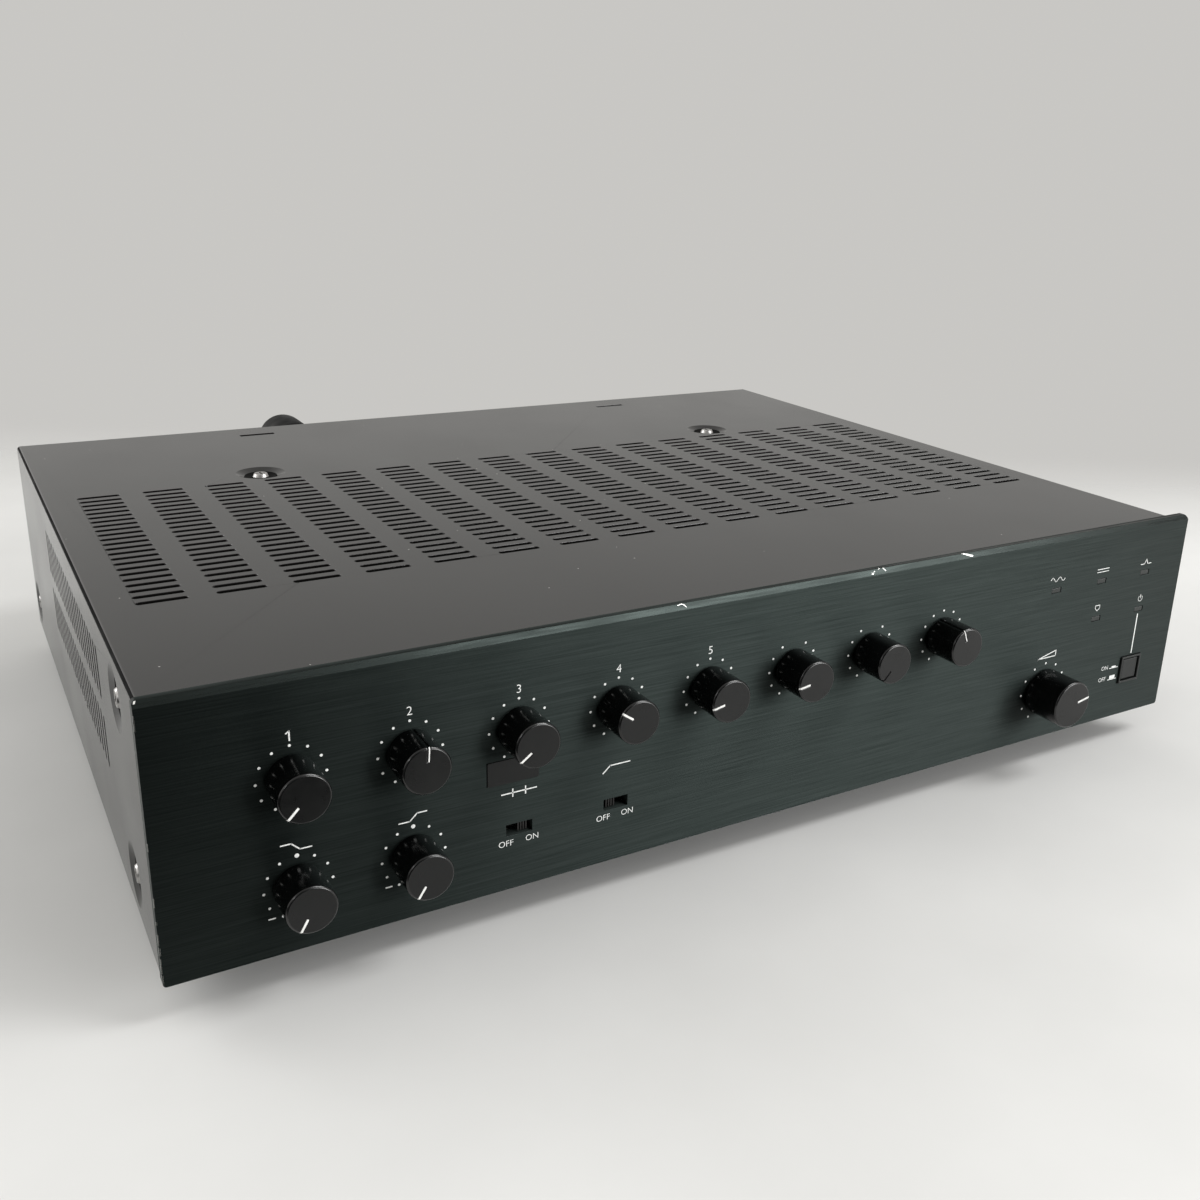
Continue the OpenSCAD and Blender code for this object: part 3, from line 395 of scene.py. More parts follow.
cover_paint = finish("cover_paint", (0.005, 0.0048, 0.0045), 0.2, 0.0, 0.52)
haze = ramp(cover_paint, noise(cover_paint, (14, 9, 14), 4.0),
            [(0.35, (0.0042, 0.004, 0.0038)), (0.7, (0.0062, 0.0059, 0.0056))])
feed(cover_paint, "Base Color", specks(cover_paint, haze, 9, 0.3, 0.6, (0.3, 0.3, 0.28)))
uneven(cover_paint, (22, 16, 22), 0.16, 0.22, 5.0)
relief(cover_paint, noise(cover_paint, 1700, 1.0), 0.012)
softened("rear_panel", cover_paint, 0.15)
softened("bay_plates", cover_paint, 0.25)
bay_pitch = 35
plate_wide = 33
plate_thick = 1.2
plate_middle = 44
screw_aside, screw_up = 12, 35
bays = [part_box("bay_plates")[0].x / MM + plate_wide / 2 + bay_pitch * i for i in range(8)]
rear_depth = (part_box("rear_panel")[1].y - panel_low.y) / MM
bay_screws = [at(x + s * screw_aside, rear_depth + plate_thick, plate_middle + s * screw_up)
              for x in bays for s in (-1, 1)]
strip_middle, strip_up = 143, 64
strip_long, strip_deep = 92, 7
strip_screws = [at(strip_middle + s * strip_long * 0.46, rear_depth + strip_deep, strip_up) for s in (-1, 1)]
screws("rear_screws", bay_screws + strip_screws, [(0, 1, 0)] * 18, head=(5.5, 2), shank=(3, 4.4), seed=7)

# Rear fittings: the input socket with a round plug in it, the speaker terminal strip, the phono sockets,
# the fuse holder and the gland of the mains lead, each fixed through the rear panel.
softened("input_socket", moulding_black, 0.4)
plug_rubber = finish("plug_rubber", (0.0035, 0.0037, 0.0037), 0.55, 0.0, 0.1)
relief(plug_rubber, noise(plug_rubber, 1800), 0.03)
uneven(plug_rubber, 130, 0.42, 0.6)


def mesh_from(work, name):
    """The mesh that was worked on, kept under a name."""
    mesh = bpy.data.meshes.new(name)
    work.to_mesh(mesh)
    work.free()
    return mesh


def turned(name, outline, centre, way, made, sides=72):
    """A turned piece: radius and height pairs in millimetres, spun round an axis."""
    work = bmesh.new()
    rings = []
    for radius, height in outline:
        if radius == 0:
            rings.append([work.verts.new((0, 0, height * MM))])
        else:
            rings.append([work.verts.new((radius * MM * math.cos(2 * math.pi * i / sides),
                                          radius * MM * math.sin(2 * math.pi * i / sides), height * MM))
                          for i in range(sides)])
    for low, high in zip(rings, rings[1:]):
        for i in range(sides):
            j = (i + 1) % sides
            corners = [low[i % len(low)], low[j % len(low)], high[j % len(high)], high[i % len(high)]]
            work.faces.new(list(dict.fromkeys(corners)))
    bmesh.ops.remove_doubles(work, verts=work.verts, dist=1e-7)
    bmesh.ops.recalc_face_normals(work, faces=work.faces)
    mesh = mesh_from(work, name)
    upright = Vector((0, 0, 1)).rotation_difference(Vector(way))
    mesh.transform(Matrix.Translation(centre) @ upright.to_matrix().to_4x4())
    smooth(mesh)
    return plain_piece(name, mesh, made)


plug_low, plug_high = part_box("rear_plug")
plug_foot = Vector(((plug_low.x + plug_high.x) / 2, plug_low.y, (plug_low.z + plug_high.z) / 2))
plug_long = (plug_high.y - plug_low.y) / MM
plug_r = (plug_high.x - plug_low.x) / 2 / MM
collar = [(0, 0), (plug_r - 0.7, 0), (plug_r - 0.1, 0.6), (plug_r - 0.1, 5)]
grip_start, grip_pitch = 6, 2.2
ridge = ((0.5, 0), (0.1, 0.35), (0.1, 1.15), (0.5, 1.5))
grip = [(plug_r - s, grip_start + grip_pitch * i + h) for i in range(8) for s, h in ridge]
end_round = 4.5
rounded_end = [(plug_r - end_round + end_round * math.cos(a), plug_long - end_round + end_round * math.sin(a))
               for a in [math.pi / 2 * i / 8 for i in range(9)]]
plug_outline = collar + grip + [(plug_r - 0.3, 24.5), (plug_r, 25.2)] + rounded_end + [(0, plug_long)]
plug = turned("rear_plug_finished", plug_outline, plug_foot, (0, 1, 0), plug_rubber)
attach(plug, "case")
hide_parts("rear_plug")
softened("speaker_terminals", moulding_black, 0.3)
terminal_brass = finish("terminal_brass", (0.52, 0.45, 0.3), 0.3, 1.0)
uneven(terminal_brass, 700, 0.22, 0.42)
terminals = [strip_middle + ((i + 0.5) / 7 - 0.5) * strip_long * 0.84 for i in range(7)]
screws("terminal_screws", [at(x, rear_depth + strip_deep, strip_up) for x in terminals], [(0, 1, 0)] * 7,
       head=(7.5, 2.8), shank=(4, 5), seed=11, made=terminal_brass)
turned_metal = finish("turned_metal", (0.6, 0.6, 0.61), 0.28, 1.0)
uneven(turned_metal, (40, 1500, 40), 0.2, 0.4)
softened("phono_sockets", turned_metal, 0.25)
softened("fuse_holder", moulding_black, 0.4)
softened("mains_gland", plug_rubber, 0.4)

# Front subpanel: a zinc-plated sheet behind the front panel. The potentiometers are nutted to it,
# and the control board behind them carries the slide switches and the lamps.
dress(zinc_plate, "front_subpanel", "potentiometers")
dress(board_green, "control_board")
dress(screw_steel, "potentiometer_nuts")
dress(moulding_black, "slide_switches")
dress(turned_metal, *["input_shaft_%d" % (i + 1) for i in range(8)])
dress(turned_metal, "bass_shaft", "treble_shaft", "master_shaft")

# Front panel: thick aluminium plate, brushed along its length and anodised black with a green cast.
# Its upper edge is bevelled, and knocks there have gone through to bare metal.
# Light slivers down its left edge are partly worn bare metal and partly a painted highlight of the edge.
panel_black = finish("panel_black", (0.0222, 0.0278, 0.0262), 0.5, 1.0)
brushed = panel_black.node_tree.nodes["Principled BSDF"].inputs
brushed["Anisotropic"].default_value = 0.9
brushed["Anisotropic Rotation"].default_value = 0.25
lengthwise = step(panel_black.node_tree, "ShaderNodeTangent", direction_type="UV_MAP", uv_map="grain")
feed(panel_black, "Tangent", lengthwise.outputs[0])
fine_grain = noise(panel_black, (45, 400, 3800), 3.0, 0.6)
long_grain = noise(panel_black, (30, 150, 2200), 3.0, 0.65)
coloured(panel_black, long_grain, [(0.25, (0.0148, 0.0195, 0.0182)), (0.75, (0.029, 0.036, 0.0341))])
feed(panel_black, "Roughness", ramp(panel_black, fine_grain, [(0.3, 0.45), (0.7, 0.55)]))
relief(panel_black, fine_grain, 0.03)
panel = softened("front_panel", panel_black, 0.2).data
grain = panel.uv_layers.new(name="grain")
for corner in panel.loops:
    place = panel.vertices[corner.vertex_index].co
    grain.data[corner.index].uv = (place.x, place.z)
bevel_black = finish("bevel_black", (0.02, 0.0245, 0.0232), 0.3, 1.0)
uneven(bevel_black, (60, 900, 900), 0.24, 0.36, 3.0)
panel.materials.append(bevel_black)
for face in panel.polygons:
    if face.normal.y < -0.3 and face.normal.z > 0.3:
        face.material_index = 1

# Bare metal for the knocks, also used for the painted highlight along the left edge.
bare_metal_and_sheen = finish("bare_metal_and_sheen", (0.78, 0.78, 0.75), 0.4, 0.5)
uneven(bare_metal_and_sheen, 2500, 0.25, 0.55)
bevel = 1.7
over_bevel = 0.03
panel_tall = (panel_high.z - panel_low.z) / MM


def on_bevel(x, up):
    """A place just over the bevel, as a share of the way up it."""
    return at(x, bevel * up - over_bevel, panel_tall - bevel + bevel * up + over_bevel)


knocks = [
    [(-44.4, 0.82), (-42.7, 1.0), (-41.8, 0.8), (-41.2, 0.35),
     (-41.5, 0.35), (-42.0, 0.68), (-42.8, 0.86), (-44.3, 0.72)],
    [(36.2, 0.22), (36.9, 0.5), (37.5, 0.36), (37.0, 0.16)],
    [(37.4, 0.52), (38.1, 0.72), (38.3, 0.6)],
    [(39.6, 0.86), (40.9, 1.0), (41.0, 0.92)],
    [(42.2, 0.9), (42.6, 0.95), (43.3, 0.45), (43.0, 0.4)],
    [(80.5, 1.0), (81.7, 1.0), (83.4, 0.8), (85.8, 0.42), (85.3, 0.2), (84.2, 0.28), (82.4, 0.68)],
    [(-209.5, 0.55), (-209.3, 0.9), (-208.7, 0.95), (-209.0, 0.6)]]
chips_and_sheen = [[on_bevel(*p) for p in k] for k in knocks]
# Slivers down the left edge: partly worn bare metal, partly a painted highlight of its rounded corner.
slivers = ((1.0, 4.2, 0.3), (4.8, 9.6, 0.2), (10.6, 13.2, 0.3), (13.9, 17.5, 0.16),
           (20.5, 21.6, 0.2), (26.0, 29.0, 0.14), (43.5, 46.0, 0.14), (79.0, 83.5, 0.2))
side_x = panel_low.x / MM
over_edge = 0.04
for low, high, wide in slivers:
    chips_and_sheen.append([at(side_x - over_edge, 0.1 + wide, low), at(side_x - over_edge, 0.1 + wide, high),
                  at(side_x + wide, -over_edge, high), at(side_x + wide, -over_edge, low)])
mesh = bpy.data.meshes.new("panel_knocks_and_sheen")
starts = [sum(len(k) for k in chips_and_sheen[:i]) for i in range(len(chips_and_sheen))]
faces = [tuple(range(s, s + len(k)))[::-1] for s, k in zip(starts, chips_and_sheen)]
mesh.from_pydata([tuple(p) for k in chips_and_sheen for p in k], [], faces)
knocks_and_sheen = plain_piece("panel_knocks_and_sheen", mesh, bare_metal_and_sheen)
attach(knocks_and_sheen, "case")

# Legend: white ink screened on the panel. Dots stand round every knob, two of them worn away, plain figures
# over the first five, ON and OFF at the switches, and simple line signs over the rest.
legend_ink = finish("legend_ink", (0.78, 0.79, 0.77), 0.5)
coloured(legend_ink, noise(legend_ink, 1500), [(0.3, (0.6, 0.61, 0.6)), (0.6, (0.82, 0.83, 0.81))])
INK = 0.03


def dot_tree():
    """Rings of dots on points: dots are counted clockwise from a first angle, upright being zero."""
    measures = ("Ring radius", "Dot width", "Dot height", "First angle", "Step angle")
    tree, given = new_tree("dial_dots", measures, "Dots")
    number = step(tree, "GeometryNodeInputIndex").outputs[0]
    angle = sum_of(tree, "MULTIPLY_ADD", number, given["Step angle"], given["First angle"])
    across = sum_of(tree, "MULTIPLY", sum_of(tree, "SINE", angle), given["Ring radius"])
    up = sum_of(tree, "MULTIPLY", sum_of(tree, "COSINE", angle), given["Ring radius"])
    place = step(tree, "ShaderNodeCombineXYZ", {"X": across, "Z": up}).outputs[0]
    ring = step(tree, "GeometryNodePoints", {"Count": given["Dots"], "Position": place}).outputs[0]
    radius = sum_of(tree, "MULTIPLY", given["Dot width"], 0.5)
    dot = step(tree, "GeometryNodeMeshCylinder", {
        "Vertices": 16, "Radius": radius, "Depth": given["Dot height"]}).outputs["Mesh"]
    facing = step(tree, "GeometryNodeTransform", {"Geometry": dot, "Rotation": (math.pi / 2, 0, 0)})
    dial = step(tree, "GeometryNodeInstanceOnPoints", {"Points": ring, "Instance": facing.outputs[0]})
    placed = step(tree, "GeometryNodeInstanceOnPoints", {
        "Points": given["Geometry"], "Instance": dial.outputs[0]}).outputs[0]
    end_tree(tree, placed, given["Material"])
    return tree


dial_dots = dot_tree()
inputs = [(-170.9 + 34.9 * i, 56.2) for i in range(8)]
bass, treble, master = (-170.9, 21.3), (-136.0, 21.3), (134.0, 21.3)
small_ring, small_dot = 10.0, 0.85


def dots(name, dials, radius, width, first=-150, count=11, thick=INK):
    """The dots round some dials, from a first angle in degrees, 30 degrees apart."""
    values = {"Ring radius": radius * MM, "Dot width": width * MM, "Dot height": thick * MM, "Dots": count,
              "First angle": math.radians(first), "Step angle": math.radians(30), "Material": legend_ink}
    piece = grown(name, dial_dots, points(name, [at(x, 0, z) for x, z in dials]), values)
    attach(piece, "case")


dots("input_dots", inputs[:5] + inputs[7:], small_ring, small_dot)
dots("worn_left_dots", inputs[5:7], small_ring, small_dot, -150, 5)
dots("worn_right_dots", inputs[5:7], small_ring, small_dot, 30, 5)
dots("tone_dots", [bass, treble], small_ring, small_dot)
dots("tone_middle_dots", [bass, treble], small_ring, 1.35, 0, 1, 0.05)
dots("master_dots", [master], 12.1, 0.95)


def joined(name, meshes, made):
    """Several meshes as one piece."""
    work = bmesh.new()
    for mesh in meshes:
        work.from_mesh(mesh)
    return plain_piece(name, mesh_from(work, name), made)


def figures(text, x, z, tall, depth=0.0, rear=False):
    """Plain raised ink figures, by the height of a capital in millimetres."""
    capital = 0.72
    line = bpy.data.curves.new("line", "FONT")
    line.body = text
    line.size = tall * MM / capital
    line.align_x = "CENTER"
    line.align_y = "CENTER"
    line.extrude = INK / 2 * MM
    line.offset = -0.012 * tall * MM
    line.resolution_u = 4
    written = plain_piece("line", line)
    mesh = evaluated_mesh(written)
    bpy.data.objects.remove(written)
    turn = Matrix.Rotation(math.pi, 4, "Z") if rear else Matrix.Identity(4)
    mesh.transform(Matrix.Translation(at(x, depth, z)) @ turn @ Matrix.Rotation(math.pi / 2, 4, "X"))
    return mesh


def block(work, size):
    """A plain block about the origin, by its three lengths in metres."""
    corners = bmesh.ops.create_cube(work, size=1)["verts"]
    bmesh.ops.scale(work, verts=corners, vec=size)
    return corners


def stroke(x, z, line, width, closed=False):
    """A thin ink line through places in millimetres about a centre."""
    work = bmesh.new()
    line = line + line[:1] if closed else line
    for (x1, z1), (x2, z2) in zip(line, line[1:]):
        long = math.hypot(x2 - x1, z2 - z1)
        bar = block(work, ((long + width * 0.7) * MM, INK * MM, width * MM))
        slope = Matrix.Rotation(-math.atan2(z2 - z1, x2 - x1), 3, "Y")
        bmesh.ops.rotate(work, verts=bar, cent=(0, 0, 0), matrix=slope)
        bmesh.ops.translate(work, verts=bar, vec=at(x + (x1 + x2) / 2, 0, z + (z1 + z2) / 2))
    return mesh_from(work, "stroke")


figure_z = 69.2
tone_x, low_cut_x = -101.1, -66.2
lamp_left, lamp_middle, lamp_right = 134, 160.5, 187
button_sign_x = 177
marks = [stroke(inputs[0][0], figure_z, [(-0.75, 0.75), (0.1, 1.45), (0.1, -1.45)], 0.42)]
marks += [figures(str(i + 1), inputs[i][0], figure_z, 2.9) for i in range(1, 5)]
marks += [figures("OFF", x - 4.6, 16.7, 2.15) for x in (tone_x, low_cut_x)]
marks += [figures("ON", x + 4.5, 16.9, 2.15) for x in (tone_x, low_cut_x)]
marks += [figures("ON", 171.4, 23.9, 1.9), figures("OFF", 170.7, 18.8, 1.9)]
line_w = 0.4
marks += [stroke(bass[0], 34.3, [(-4.4, 1.2), (-1.4, 1.2), (1.0, -1.1), (4.4, -1.1)], line_w),
          stroke(treble[0], 34.3, [(-4.4, -1.1), (-1.0, -1.1), (1.4, 1.2), (4.4, 1.2)], line_w),
          stroke(tone_x, 34.4, [(-6, 0), (6, 0)], line_w),
          stroke(tone_x, 34.4, [(-2.2, -1.3), (-2.2, 1.3)], line_w),
          stroke(tone_x, 34.4, [(2.2, -1.3), (2.2, 1.3)], line_w),
          stroke(low_cut_x, 34.4, [(-5, -1.3), (-2.4, 1.1), (5, 1.1)], line_w),
          stroke(master[0], 37.0, [(-5, -1.1), (5, -1.1), (5, 1.3)], line_w, True)]
fine_w = 0.3
upper_z = 69.5
wave = [(-4 + 0.5 * i, 0.9 * math.sin(i * math.pi / 4)) for i in range(17)]
shield = [(-1.3, 1.1), (1.3, 1.1), (1.3, -0.2), (0, -1.3), (-1.3, -0.2)]
open_ring = [(1.25 * math.sin(a), 1.25 * math.cos(a)) for a in [math.radians(40 + 28 * i) for i in range(11)]]
marks += [stroke(lamp_left, upper_z, wave, fine_w),
          stroke(lamp_middle, upper_z, [(-3.4, -0.6), (3.4, -0.6)], fine_w),
          stroke(lamp_middle, upper_z, [(-3.4, 0.6), (3.4, 0.6)], fine_w),
          stroke(lamp_right, upper_z, [(-3.2, -0.9), (-1, -0.9), (0, 1.1), (1, -0.9), (3.2, -0.9)], fine_w),
          stroke(lamp_middle, 53.1, shield, fine_w, True),
          stroke(lamp_right, 53.2, open_ring, fine_w),
          stroke(lamp_right, 53.2, [(0, 0.1), (0, 1.6)], fine_w)]
marks += [stroke(lamp_right, 0, [(0, 46.1), (0, 28.4)], 0.55)]
marks += [stroke(button_sign_x, 23.3, [(-2.5, 0), (2.5, 0)], 0.35),
          stroke(button_sign_x, 23.6, [(-1.1, 0.25), (1.1, 0.25)], 0.6),
          stroke(button_sign_x, 18.0, [(-2.5, 0), (2.5, 0)], 0.35),
          stroke(button_sign_x, 18.4, [(-1.1, 0.65), (1.1, 0.65)], 1.5)]
sign_aside, sign_below = 8.2, 8.6
sign_half, sign_w = 0.9, 0.45
for x, z in (bass, treble):
    marks += [stroke(x - sign_aside, z - sign_below, [(-sign_half, 0), (sign_half, 0)], sign_w),
              stroke(x + sign_aside, z - sign_below, [(-sign_half, 0), (sign_half, 0)], sign_w),
              stroke(x + sign_aside, z - sign_below, [(0, -sign_half), (0, sign_half)], sign_w)]
legend = joined("panel_legend", marks, legend_ink)
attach(legend, "case")
rear_marks = [figures(str(i + 1), x, 10, 3.2, rear_depth + plate_thick, True) for i, x in enumerate(bays)]
bay_figures = joined("bay_figures", rear_marks, legend_ink)
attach(bay_figures, "case")

# Film: a strip of thin dark film stuck on the panel under the third knob, its corners a little round.
# A black line along its left and upper edges is painted shade of the film's edge.
film_dark = finish("film_dark", (0.003, 0.0034, 0.0034), 0.3, 0.0, 0.33)
uneven(film_dark, 300, 0.26, 0.4)
film_round, film_thick = 0.6, 0.06
film_corners = ((-94.9, 45.6), (-111.1, 45.6), (-111.1, 38.6), (-94.9, 38.6))
outline = [(cx + film_round * math.cos(a), cz + film_round * math.sin(a))
           for k, (cx, cz) in enumerate(film_corners)
           for a in [math.pi / 2 * (k + i / 4) for i in range(5)]]
mesh = bpy.data.meshes.new("panel_film")
rim = len(outline)
mesh.from_pydata([tuple(at(x, d, z)) for d in (-film_thick, 0.0) for x, z in outline], [],
                 [tuple(range(rim))] + [(i, i + rim, (i + 1) % rim + rim, (i + 1) % rim) for i in range(rim)])
film = plain_piece("panel_film", mesh, film_dark)
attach(film, "case")
# Matt black for the painted shade along the film's left and upper edges.
film_edge_shade = finish("film_edge_shade", (0.001, 0.001, 0.001), 0.7, 0.0, 0.05)
uneven(film_edge_shade, 900, 0.6, 0.8)
film_shade_line = stroke(0, 0, [(-111.9, 38.4), (-111.9, 46.3), (-99.5, 46.3)], 0.4)
film_shade = joined("film_edge", [film_shade_line], film_edge_shade)
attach(film_shade, "case")

# Lamps: five small rectangular lenses of smoked plastic, unlit, flush in the panel.
# Each goes through a hole of its own and is carried by the control board behind.
lamp_dark = finish("lamp_dark", (0.012, 0.015, 0.014), 0.25, 0.0, 0.4)
coloured(lamp_dark, noise(lamp_dark, 900), [(0.3, (0.009, 0.012, 0.011)), (0.7, (0.02, 0.023, 0.022))])
softened("indicator_lamps", lamp_dark, 0.2)

# Mains button: a square moulded cap on the stem of its switch, which travels into the panel.
# The switch's own frame stands a little proud round the cap.
button_black = finish("button_black", (0.008, 0.0095, 0.009), 0.4, 0.0, 0.35)
relief(button_black, noise(button_black, 2600), 0.015)
uneven(button_black, 220, 0.34, 0.48)
softened("power_switch", button_black, 0.2, 2)
softened("power_button", button_black, 0.35, 3)

# Slide levers: black moulded levers with ribs for a fingertip, deep in their windows.
# Each is one block with four ribs across its face, and slides with the switch behind it.
lever_black = finish("lever_black", (0.01, 0.0095, 0.009), 0.45, 0.0, 0.35)
relief(lever_black, noise(lever_black, 2600), 0.015)
rib_high = 0.6 * MM
rib_root = 0.8 * MM
for lever in ("tone", "low_cut"):
    low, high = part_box(lever + "_lever")
    work = bmesh.new()
    blocks = [(low.x, high.x, low.y + rib_high, high.y)]
    rib = (high.x - low.x) / 7
    blocks += [(low.x + 2 * i * rib, low.x + (2 * i + 1) * rib, low.y, low.y + rib_root) for i in range(4)]
    for x1, x2, y1, y2 in blocks:
        corners = block(work, (x2 - x1, y2 - y1, high.z - low.z))
        middle = ((x1 + x2) / 2, (y1 + y2) / 2, (low.z + high.z) / 2)
        bmesh.ops.translate(work, verts=corners, vec=middle)
    piece = plain_piece(lever + "_lever_finished", mesh_from(work, lever), lever_black)
    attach(piece, lever)
    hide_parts(lever + "_lever")

# Knobs: plain round caps moulded in black, pushed on their shafts, with a groove for a white pointer.
# The ink has gone from the seventh groove, two are inked on the right half only, and dust clings to their
# sides.
knob_black = finish("knob_black", (0.0015, 0.0018, 0.0018), 0.2, 0.0, 0.45)
dusty = specks(knob_black, (0.0015, 0.0018, 0.0018, 1), 0.9, 0.13, 0.22, (0.03, 0.032, 0.032))
feed(knob_black, "Base Color", dusty)
uneven(knob_black, 160, 0.16, 0.24)
knob_face = finish("knob_face", (0.002, 0.0023, 0.0023), 0.3, 0.0, 0.4)
uneven(knob_face, 160, 0.26, 0.36)
knob_edge = finish("knob_edge", (0.002, 0.0023, 0.0023), 0.22, 0.0, 0.6)
uneven(knob_edge, 160, 0.18, 0.28)
pointer_ink = finish("pointer_ink", (0.8, 0.8, 0.78), 0.45)
coloured(pointer_ink, noise(pointer_ink, 800), [(0.3, (0.66, 0.66, 0.64)), (0.6, (0.84, 0.84, 0.82))])
small_knob = (7.5, 4.6, 14)
large_knob = (9.75, 6.6, 16)
rests = [-136, 4, -127, -55, -102, -99, -138, -21]
knobs = [("input_knob_%d" % (i + 1), "input_%d" % (i + 1), inputs[i], rests[i], small_knob) for i in range(8)]
knobs += [("bass_knob", "bass", bass, -150, small_knob), ("treble_knob", "treble", treble, -147, small_knob),
          ("master_knob", "master", master, 79, large_knob)]
for node, body, (x, z), rest, (radius, long, reach) in knobs:
    cap = softened(node, knob_black, 0.22, 2).data
    cap.materials.append(knob_face)
    cap.materials.append(knob_edge)
    for face in cap.polygons:
        forward = -face.normal.y
        in_groove = face.center.y > panel_low.y - (reach - 0.3) * MM
        if forward > 0.985 and not in_groove:
            face.material_index = 1
        elif 0.25 < forward < 0.985:
            face.material_index = 2
        else:
            face.material_index = 0
    if node == "input_knob_7":
        continue
    # On knobs two and eight the ink covers only the right half of the groove.
    half_inked = node in ("input_knob_2", "input_knob_8")
    left, over = (0.02, 0.36) if half_inked else (-0.33, 0.33)
    work = bmesh.new()
    section = [(radius - long, 0.05), (radius - 0.5, 0.05), (radius - 0.05, 0.5), (radius - 0.38, 0.5),
               (radius - 0.38, 0.4), (radius - long, 0.4)]
    sides = [[work.verts.new((s * MM, d * MM, r * MM)) for r, d in section] for s in (left, over)]
    for i in range(len(section)):
        j = (i + 1) % len(section)
        work.faces.new((sides[0][i], sides[0][j], sides[1][j], sides[1][i]))
    work.faces.new(sides[0])
    work.faces.new(sides[1])
    bmesh.ops.recalc_face_normals(work, faces=work.faces)
    mesh = mesh_from(work, node)
    mesh.transform(Matrix.Translation(at(x, -reach, z)) @ Matrix.Rotation(math.radians(rest), 4, "Y"))
    pointer = plain_piece(node + "_pointer", mesh, pointer_ink)
    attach(pointer, body)

# Top cover: one folded sheet of painted steel with punched vents and drawn dimples, put on last.
# Two screws hold it from above and three from each side. Each sits in a dimple, ringed by matt black
# that is painted shade in the dimple, and the folds of the top carry a painted dark line of shade.
cover_low, cover_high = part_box("top_cover")
cover = softened("top_cover", cover_paint, 0.12, 1, slotted=True)
# Matt black for painted shade: a dark line on the rounded folds of the top, and the rings in the dimples.
painted_shade_black = finish("painted_shade_black", (0.002, 0.002, 0.002), 0.7, 0.0, 0.05)
uneven(painted_shade_black, 60, 0.6, 0.8)
cover.data.materials.append(painted_shade_black)
# Faces on the folds between the top and the sides take this painted shade.
fold_near = 1.5 * MM
for face in cover.data.polygons:
    in_side = min(face.center.x - cover_low.x, cover_high.x - face.center.x)
    in_top = cover_high.z - face.center.z
    sloped = min(abs(face.normal.x), face.normal.z) > 0.42
    if in_side < fold_near and in_top < fold_near and sloped:
        face.material_index = 1
case_mid = (cover_low.x + cover_high.x) / 2 / MM
cover_tall = (cover_high.z - cover_low.z) / MM
half = (cover_high.x - cover_low.x) / 2 / MM
seat = 2
top_aside, top_depth = 117.3, 225
side_screws = ((40, 14), (40, 72), (304, 14))
top_places = [at(case_mid + s * top_aside, top_depth, cover_tall - seat) for s in (-1, 1)]
side_places = [at(case_mid + s * (half - seat), d, z) for s in (-1, 1) for d, z in side_screws]
places = top_places + side_places
out_ways = [(0, 0, 1)] * 2 + [(-1, 0, 0)] * 3 + [(1, 0, 0)] * 3
bright_nickel = finish("bright_nickel", (0.45, 0.44, 0.43), 0.35, 1.0)
uneven(bright_nickel, 900, 0.28, 0.42)
screws("cover_screws", places, out_ways, head=(7.5, 1.8), shank=(4, 5.6), seed=5, made=bright_nickel)
# A matt black ring round each screw head stands for the shade in its dimple: painted shade, not a part.
shade_ring_section = [(2.2, -0.45), (5.2, -0.45), (6.9, 0.2), (6.8, 0.35), (5.2, 0.0), (2.2, 0.0), (2.2, -0.45)]
shade_ring_lift = 0.5 * MM
rings = [turned("shade_ring", shade_ring_section, place + shade_ring_lift * Vector(way), way, painted_shade_black, 40)
         for place, way in zip(places, out_ways)]
shade_rings = joined("cover_shade_rings", [ring.data for ring in rings], painted_shade_black)
for ring in rings:
    bpy.data.objects.remove(ring)
smooth(shade_rings.data)
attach(shade_rings, "case")

# Studio: a wide sheet of pale paper that fades into the room, soft lamps, and the camera where the photograph
# was taken. Seen in gloss only, the sheet is painted near black past a line just before the camera: a painted
# dark reflection.
def along_way(tree, place, way):
    """How far a place lies along a direction."""
    return step(tree, "ShaderNodeVectorMath", {0: place, 1: way}, operation="DOT_PRODUCT").outputs["Value"]


def rising(tree, value, start, full, change=1.0):
    """A soft rise from nothing to a change, between two values."""
    limits = {0: value, 1: start, 2: full, 3: 0.0, 4: change}
    return step(tree, "ShaderNodeMapRange", limits, interpolation_type="SMOOTHSTEP").outputs[0]


floor_half = 5
floor_corners = [(-floor_half, -floor_half, 0), (floor_half, -floor_half, 0),
                 (floor_half, floor_half, 0), (-floor_half, floor_half, 0)]
floor_mesh = bpy.data.meshes.new("floor")
floor_mesh.from_pydata(floor_corners, [], [(0, 1, 2, 3)])
paper = finish("paper", (0.7, 0.7, 0.69), 0.9, 0.0, 0.2)
sheet = paper.node_tree
spot = step(sheet, "ShaderNodeTexCoord").outputs["Object"]
# For glossy rays only, the paper past a line before the camera is painted near black: a painted dark
# reflection.
mirrored = step(sheet, "ShaderNodeLightPath").outputs["Is Glossy Ray"]
near_end = rising(sheet, along_way(sheet, spot, (-0.529, -0.849, 0)), 0.302, 0.33)
dark_in_gloss = sum_of(sheet, "MULTIPLY", near_end, mirrored)
tone = ramp(paper, noise(paper, 9, 5.0), [(0.3, (0.67, 0.67, 0.66)), (0.7, (0.73, 0.73, 0.72))])
feed(paper, "Base Color", mixed(paper, dark_in_gloss, tone, (0.03, 0.03, 0.03, 1)))
away = step(sheet, "ShaderNodeVectorMath", {0: spot}, operation="LENGTH").outputs["Value"]
fade_round = rising(sheet, away, 0.9, 3.2)
fade_behind = rising(sheet, along_way(sheet, spot, (0.517, 0.856, 0)), 0.2, 0.52)
fade = sum_of(sheet, "MAXIMUM", fade_round, fade_behind)
clear = step(sheet, "ShaderNodeBsdfTransparent").outputs[0]
blend = step(sheet, "ShaderNodeMixShader", {0: fade, 1: sheet.nodes["Principled BSDF"].outputs[0], 2: clear})
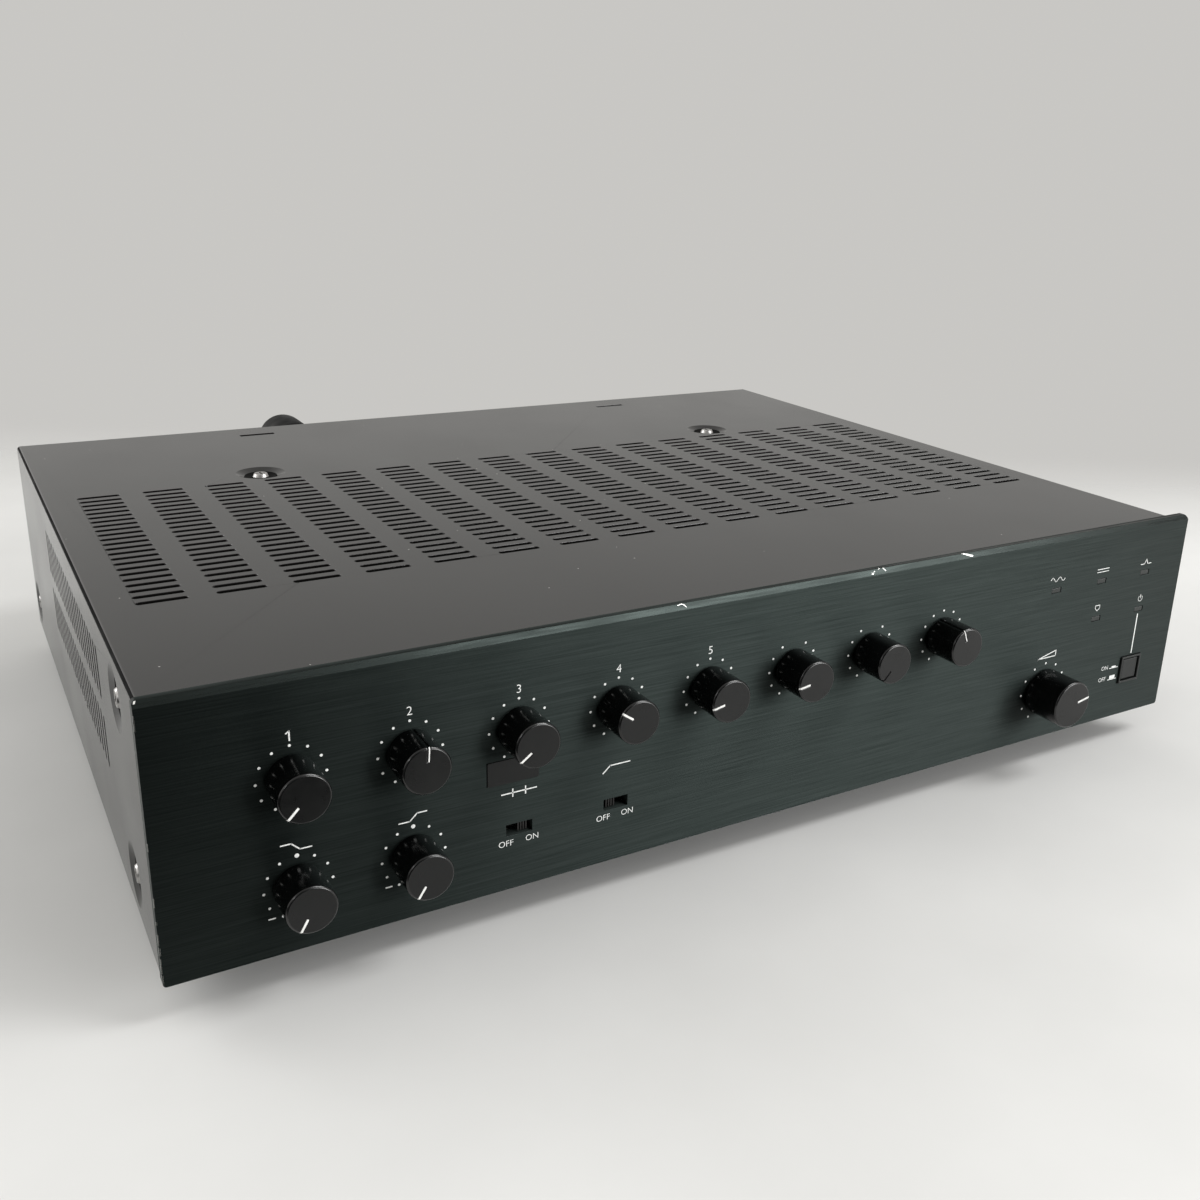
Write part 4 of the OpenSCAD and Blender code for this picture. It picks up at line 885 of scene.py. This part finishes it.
sheet.links.new(blend.outputs[0], sheet.nodes["Material Output"].inputs["Surface"])
floor = plain_piece("floor", floor_mesh, paper)

world = bpy.data.worlds.new("studio")
world.use_nodes = True
bpy.context.scene.world = world
sky = world.node_tree
toward = step(sky, "ShaderNodeTexCoord").outputs["Generated"]


def part_of_room(way, edge, full, change):
    """Light that a part of the room adds or takes, all round a direction."""
    return rising(sky, along_way(sky, toward, Vector(way).normalized()), edge, full, change)


window = part_of_room((-0.8, 0.55, 0.25), 0.5, 0.95, 0.8)
dark_wall = part_of_room((-0.35, -0.94, 0.1), 0.45, 0.95, -0.6)
even_light = 0.62
backdrop = 0.58
room = sum_of(sky, "ADD", sum_of(sky, "ADD", window, dark_wall), even_light)
seen = step(sky, "ShaderNodeLightPath").outputs["Is Camera Ray"]
strength = step(sky, "ShaderNodeMix", {0: seen, 2: room, 3: backdrop}, data_type="FLOAT").outputs[0]
sky.links.new(strength, sky.nodes["Background"].inputs["Strength"])
sky.nodes["Background"].inputs["Color"].default_value = (1.0, 0.985, 0.95, 1)


def lamp(name, place, aim, size, power, along=(1, 0, 0), narrow=1.0):
    """A soft lamp that looks at a place, with its long side along a direction."""
    light = bpy.data.lights.new(name, "AREA")
    light.shape = "RECTANGLE"
    light.size = size
    light.size_y = size * narrow
    light.energy = power
    made = bpy.data.objects.new(name, light)
    back = (Vector(place) - Vector(aim)).normalized()
    side = (Vector(along) - back * back.dot(Vector(along))).normalized()
    turn = Matrix((side, back.cross(side), back)).transposed()
    made.matrix_world = Matrix.Translation(place) @ turn.to_4x4()
    bpy.context.scene.collection.objects.link(made)


lamp("overhead", (0.96, -0.79, 1.485), (0.0, -0.18, 0.1), 1.05, 14.5, (0.83, 0.23, -0.51), 0.4)
lamp("front_right", (1.25, -1.89, 0.54), (0.0, -0.18, 0.06), 1.44, 40, (0.81, 0.59, 0), 0.7)
lamp("front_left", (-1.09, -0.79, 0.67), (-0.1, -0.19, 0.07), 0.25, 1.0)
lamp("rear_left", (-1.0, 0.75, 0.7), (-0.32, 0.25, 0), 0.6, 4.5)

yaw, pitch, roll = 0.543641, 0.327597, 0.033021
ahead = Vector((math.sin(yaw) * math.cos(pitch), math.cos(yaw) * math.cos(pitch), -math.sin(pitch)))
right = Vector((math.cos(yaw), -math.sin(yaw), 0))
up = right.cross(ahead)
right, up = (math.cos(roll) * right + math.sin(roll) * up), (math.cos(roll) * up - math.sin(roll) * right)
photo_wide = 1200
photo_focal = 1231.26
axis_x, axis_y = 645.02, 573.07
lens = bpy.data.cameras.new("camera")
lens.sensor_width = 36
lens.lens = 36 * photo_focal / photo_wide
lens.shift_x = -(axis_x - photo_wide / 2) / photo_wide
lens.shift_y = -(photo_wide / 2 - axis_y) / photo_wide
lens.clip_start = 0.01
camera = bpy.data.objects.new("camera", lens)
turn = Matrix((right, up, -ahead)).transposed()
camera.matrix_world = Matrix.Translation(at(-246.46, -312.21, 224.11)) @ turn.to_4x4()
bpy.context.scene.collection.objects.link(camera)
bpy.context.scene.camera = camera
bpy.context.scene.view_settings.view_transform = "Standard"
